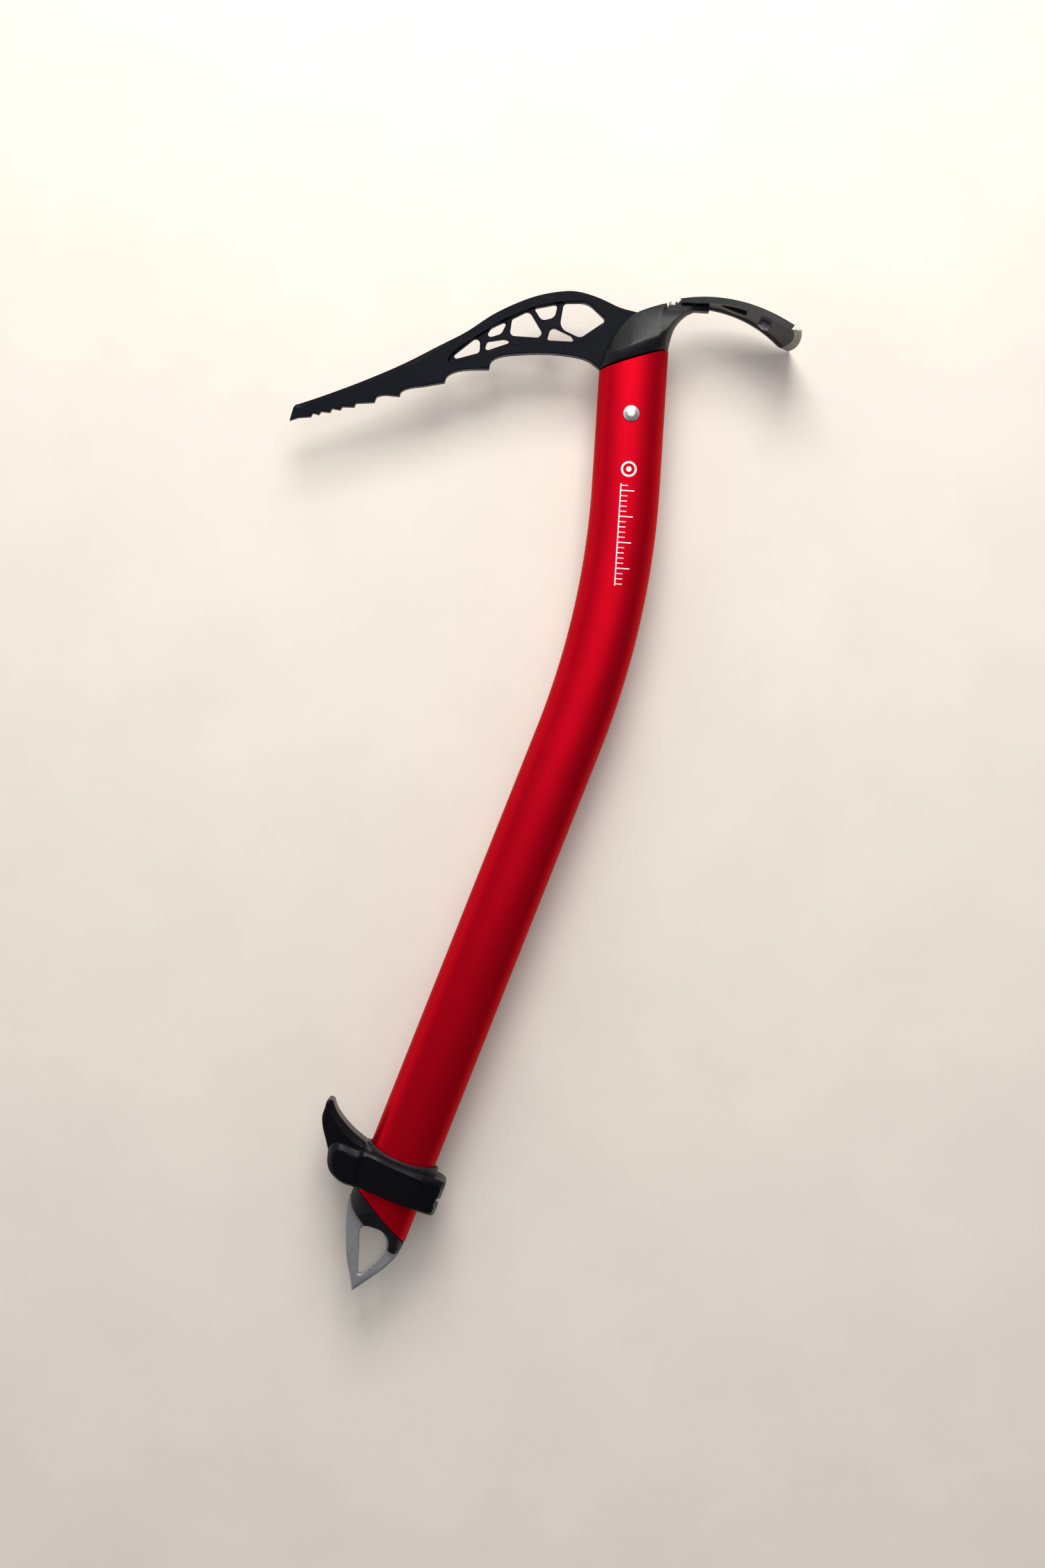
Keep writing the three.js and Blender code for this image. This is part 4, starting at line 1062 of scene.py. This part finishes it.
def colour(name, description, default):
    return bpy.props.FloatVectorProperty(name=name, description=description, default=default,
                                         min=0.0, max=1.0, size=3, subtype="COLOR")


def power(name, description, default):
    return bpy.props.FloatProperty(name=name, description=description, default=default,
                                   min=0.0, unit="POWER")


class IceAxeSizes(bpy.types.PropertyGroup):
    """Thicknesses and bevels a user may change; the outlines stay as measured."""
    tube_wall: length("Tube wall", "Thickness of the shaft wall", 0.0016, 0.001, 0.0018)
    head_plate: length("Head plate", "Thickness of the head plate at the covers", 0.006, 0.004, 0.006)
    pocket_depth: length("Pocket depth", "Depth of the pocket in each face of the pick", 0.0015, 0.0, 0.002)
    crest_bevel: length("Crest bevel", "Width of the bevel along the back of the pick", 0.0015, 0.0005, 0.003)
    rivet_dome: length("Rivet dome", "Rise of the head rivet", 0.00175, 0.0005, 0.00175)
    adze_lip: length("Adze lip", "Extra thickness of the lips along the adze", 0.0009, 0.0, 0.0012)
    band_waist: length("Band waist", "Depth of the waist round the band of the rest", 0.001, 0.0, 0.0015)
    hook_bevel: length("Hook bevel", "Depth of the bevel along the hook's hollow", 0.0023, 0.0005, 0.003)


class IceAxeColours(bpy.types.PropertyGroup):
    """Base colour of every finish."""
    shaft: colour("Shaft", "Anodised colour of the shaft", (0.46, 0.0012, 0.01))
    print: colour("Print", "Colour of the printed scale", (0.78, 0.78, 0.8))
    pick: colour("Pick", "Coating of the head plate", (0.0026, 0.003, 0.0062))
    covers: colour("Covers", "Moulding of the head covers and end plugs", (0.0045, 0.0045, 0.006))
    adze: colour("Adze", "Coating of the adze", (0.0075, 0.0075, 0.0075))
    rest: colour("Rest", "Moulding of the band and the hook", (0.0018, 0.0018, 0.003))
    sleeve: colour("Sleeve", "Moulding of the sleeve inside the band", (0.014, 0.01, 0.014))
    spike: colour("Spike", "Bare steel of the spike and the small fixings", (0.43, 0.43, 0.44))
    rivet: colour("Rivet", "Bare metal of the head rivet", (0.72, 0.72, 0.74))
    cutting_edge: colour("Cutting edge", "Ground edge of the adze", (0.36, 0.34, 0.32))


class IceAxeStage(bpy.types.PropertyGroup):
    """Light and floor of the studio."""
    lamp: power("Lamp power", "Power of the main lamp beyond the head", 9.6)
    overhead: power("Overhead power", "Power of the soft lamp above the shaft", 4.2)
    fill: bpy.props.FloatProperty(name="Fill light", description="Strength of the light all round",
                                  default=1.45, min=0.0, max=4.0, subtype="FACTOR")
    floor: colour("Floor", "Colour of the studio floor", (0.83, 0.765, 0.69))


class Builder:
    """Shared behaviour of the operators that build one piece or one group of pieces."""

    bl_options = {"REGISTER", "UNDO"}
    make = None

    def execute(self, context):
        scene = context.scene
        type(self).make(library(scene.ice_axe_colours), scene.ice_axe_sizes)
        return {"FINISHED"}


class ICEAXE_OT_shaft(Builder, bpy.types.Operator):
    """Build the bent oval shaft with its rolled rims and printed scale"""
    bl_idname = "ice_axe.shaft"
    bl_label = "Shaft"
    make = staticmethod(build_shaft)


class ICEAXE_OT_pick(Builder, bpy.types.Operator):
    """Build the toothed head plate with its milled pockets and windows"""
    bl_idname = "ice_axe.pick"
    bl_label = "Pick"
    make = staticmethod(build_pick)


class ICEAXE_OT_covers(Builder, bpy.types.Operator):
    """Build the two ridged covers over the head"""
    bl_idname = "ice_axe.covers"
    bl_label = "Head covers"
    make = staticmethod(build_covers)


class ICEAXE_OT_adze(Builder, bpy.types.Operator):
    """Build the scooped adze with its ground edge"""
    bl_idname = "ice_axe.adze"
    bl_label = "Adze"
    make = staticmethod(build_adze)


class ICEAXE_OT_fixings(Builder, bpy.types.Operator):
    """Build the rivet, pin, bolt, screw and nut"""
    bl_idname = "ice_axe.fixings"
    bl_label = "Rivet, pin and bolts"
    make = staticmethod(build_fixings)


class ICEAXE_OT_spike(Builder, bpy.types.Operator):
    """Build the spike plate and its two fillers"""
    bl_idname = "ice_axe.spike"
    bl_label = "Spike"
    make = staticmethod(build_spike)


class ICEAXE_OT_rest(Builder, bpy.types.Operator):
    """Build the sliding band, its liner, shoe and pin"""
    bl_idname = "ice_axe.rest"
    bl_label = "Sliding rest"
    make = staticmethod(build_rest)


class ICEAXE_OT_hook(Builder, bpy.types.Operator):
    """Build the finger hook that turns in the rest"""
    bl_idname = "ice_axe.hook"
    bl_label = "Finger hook"
    make = staticmethod(build_hook)


class ICEAXE_OT_studio(bpy.types.Operator):
    """Build the floor, the lights and the camera"""
    bl_idname = "ice_axe.studio"
    bl_label = "Studio"
    bl_options = {"REGISTER", "UNDO"}

    def execute(self, context):
        build_studio(context.scene.ice_axe_stage)
        return {"FINISHED"}


OPERATORS = (ICEAXE_OT_shaft, ICEAXE_OT_pick, ICEAXE_OT_covers, ICEAXE_OT_adze, ICEAXE_OT_fixings,
             ICEAXE_OT_spike, ICEAXE_OT_rest, ICEAXE_OT_hook, ICEAXE_OT_studio)


GROUPS = {"ice_axe_sizes": IceAxeSizes, "ice_axe_colours": IceAxeColours, "ice_axe_stage": IceAxeStage}


class ICEAXE_PT_panel(bpy.types.Panel):
    """Lists the pieces of the ice axe"""
    bl_idname = "ICEAXE_PT_panel"
    bl_label = "Ice Axe"
    bl_space_type = "VIEW_3D"
    bl_region_type = "UI"
    bl_category = "Ice Axe"

    def draw(self, context):
        for operator in OPERATORS:
            self.layout.operator(operator.bl_idname)
        for name in GROUPS:
            box = self.layout.box()
            group = getattr(context.scene, name)
            for prop in GROUPS[name].__annotations__:
                box.prop(group, prop)


def register():
    for item in (*GROUPS.values(), *OPERATORS, ICEAXE_PT_panel):
        bpy.utils.register_class(item)
    for name, group in GROUPS.items():
        setattr(bpy.types.Scene, name, bpy.props.PointerProperty(type=group))


def unregister():
    for name in GROUPS:
        delattr(bpy.types.Scene, name)
    for item in (ICEAXE_PT_panel, *reversed(OPERATORS), *reversed(GROUPS.values())):
        bpy.utils.unregister_class(item)


def main():
    register()
    bpy.ops.ice_axe.studio()
    bpy.ops.ice_axe.shaft()
    bpy.ops.ice_axe.pick()
    bpy.ops.ice_axe.covers()
    bpy.ops.ice_axe.adze()
    bpy.ops.ice_axe.fixings()
    bpy.ops.ice_axe.spike()
    bpy.ops.ice_axe.rest()
    bpy.ops.ice_axe.hook()


if __name__ == "__main__":
    main()
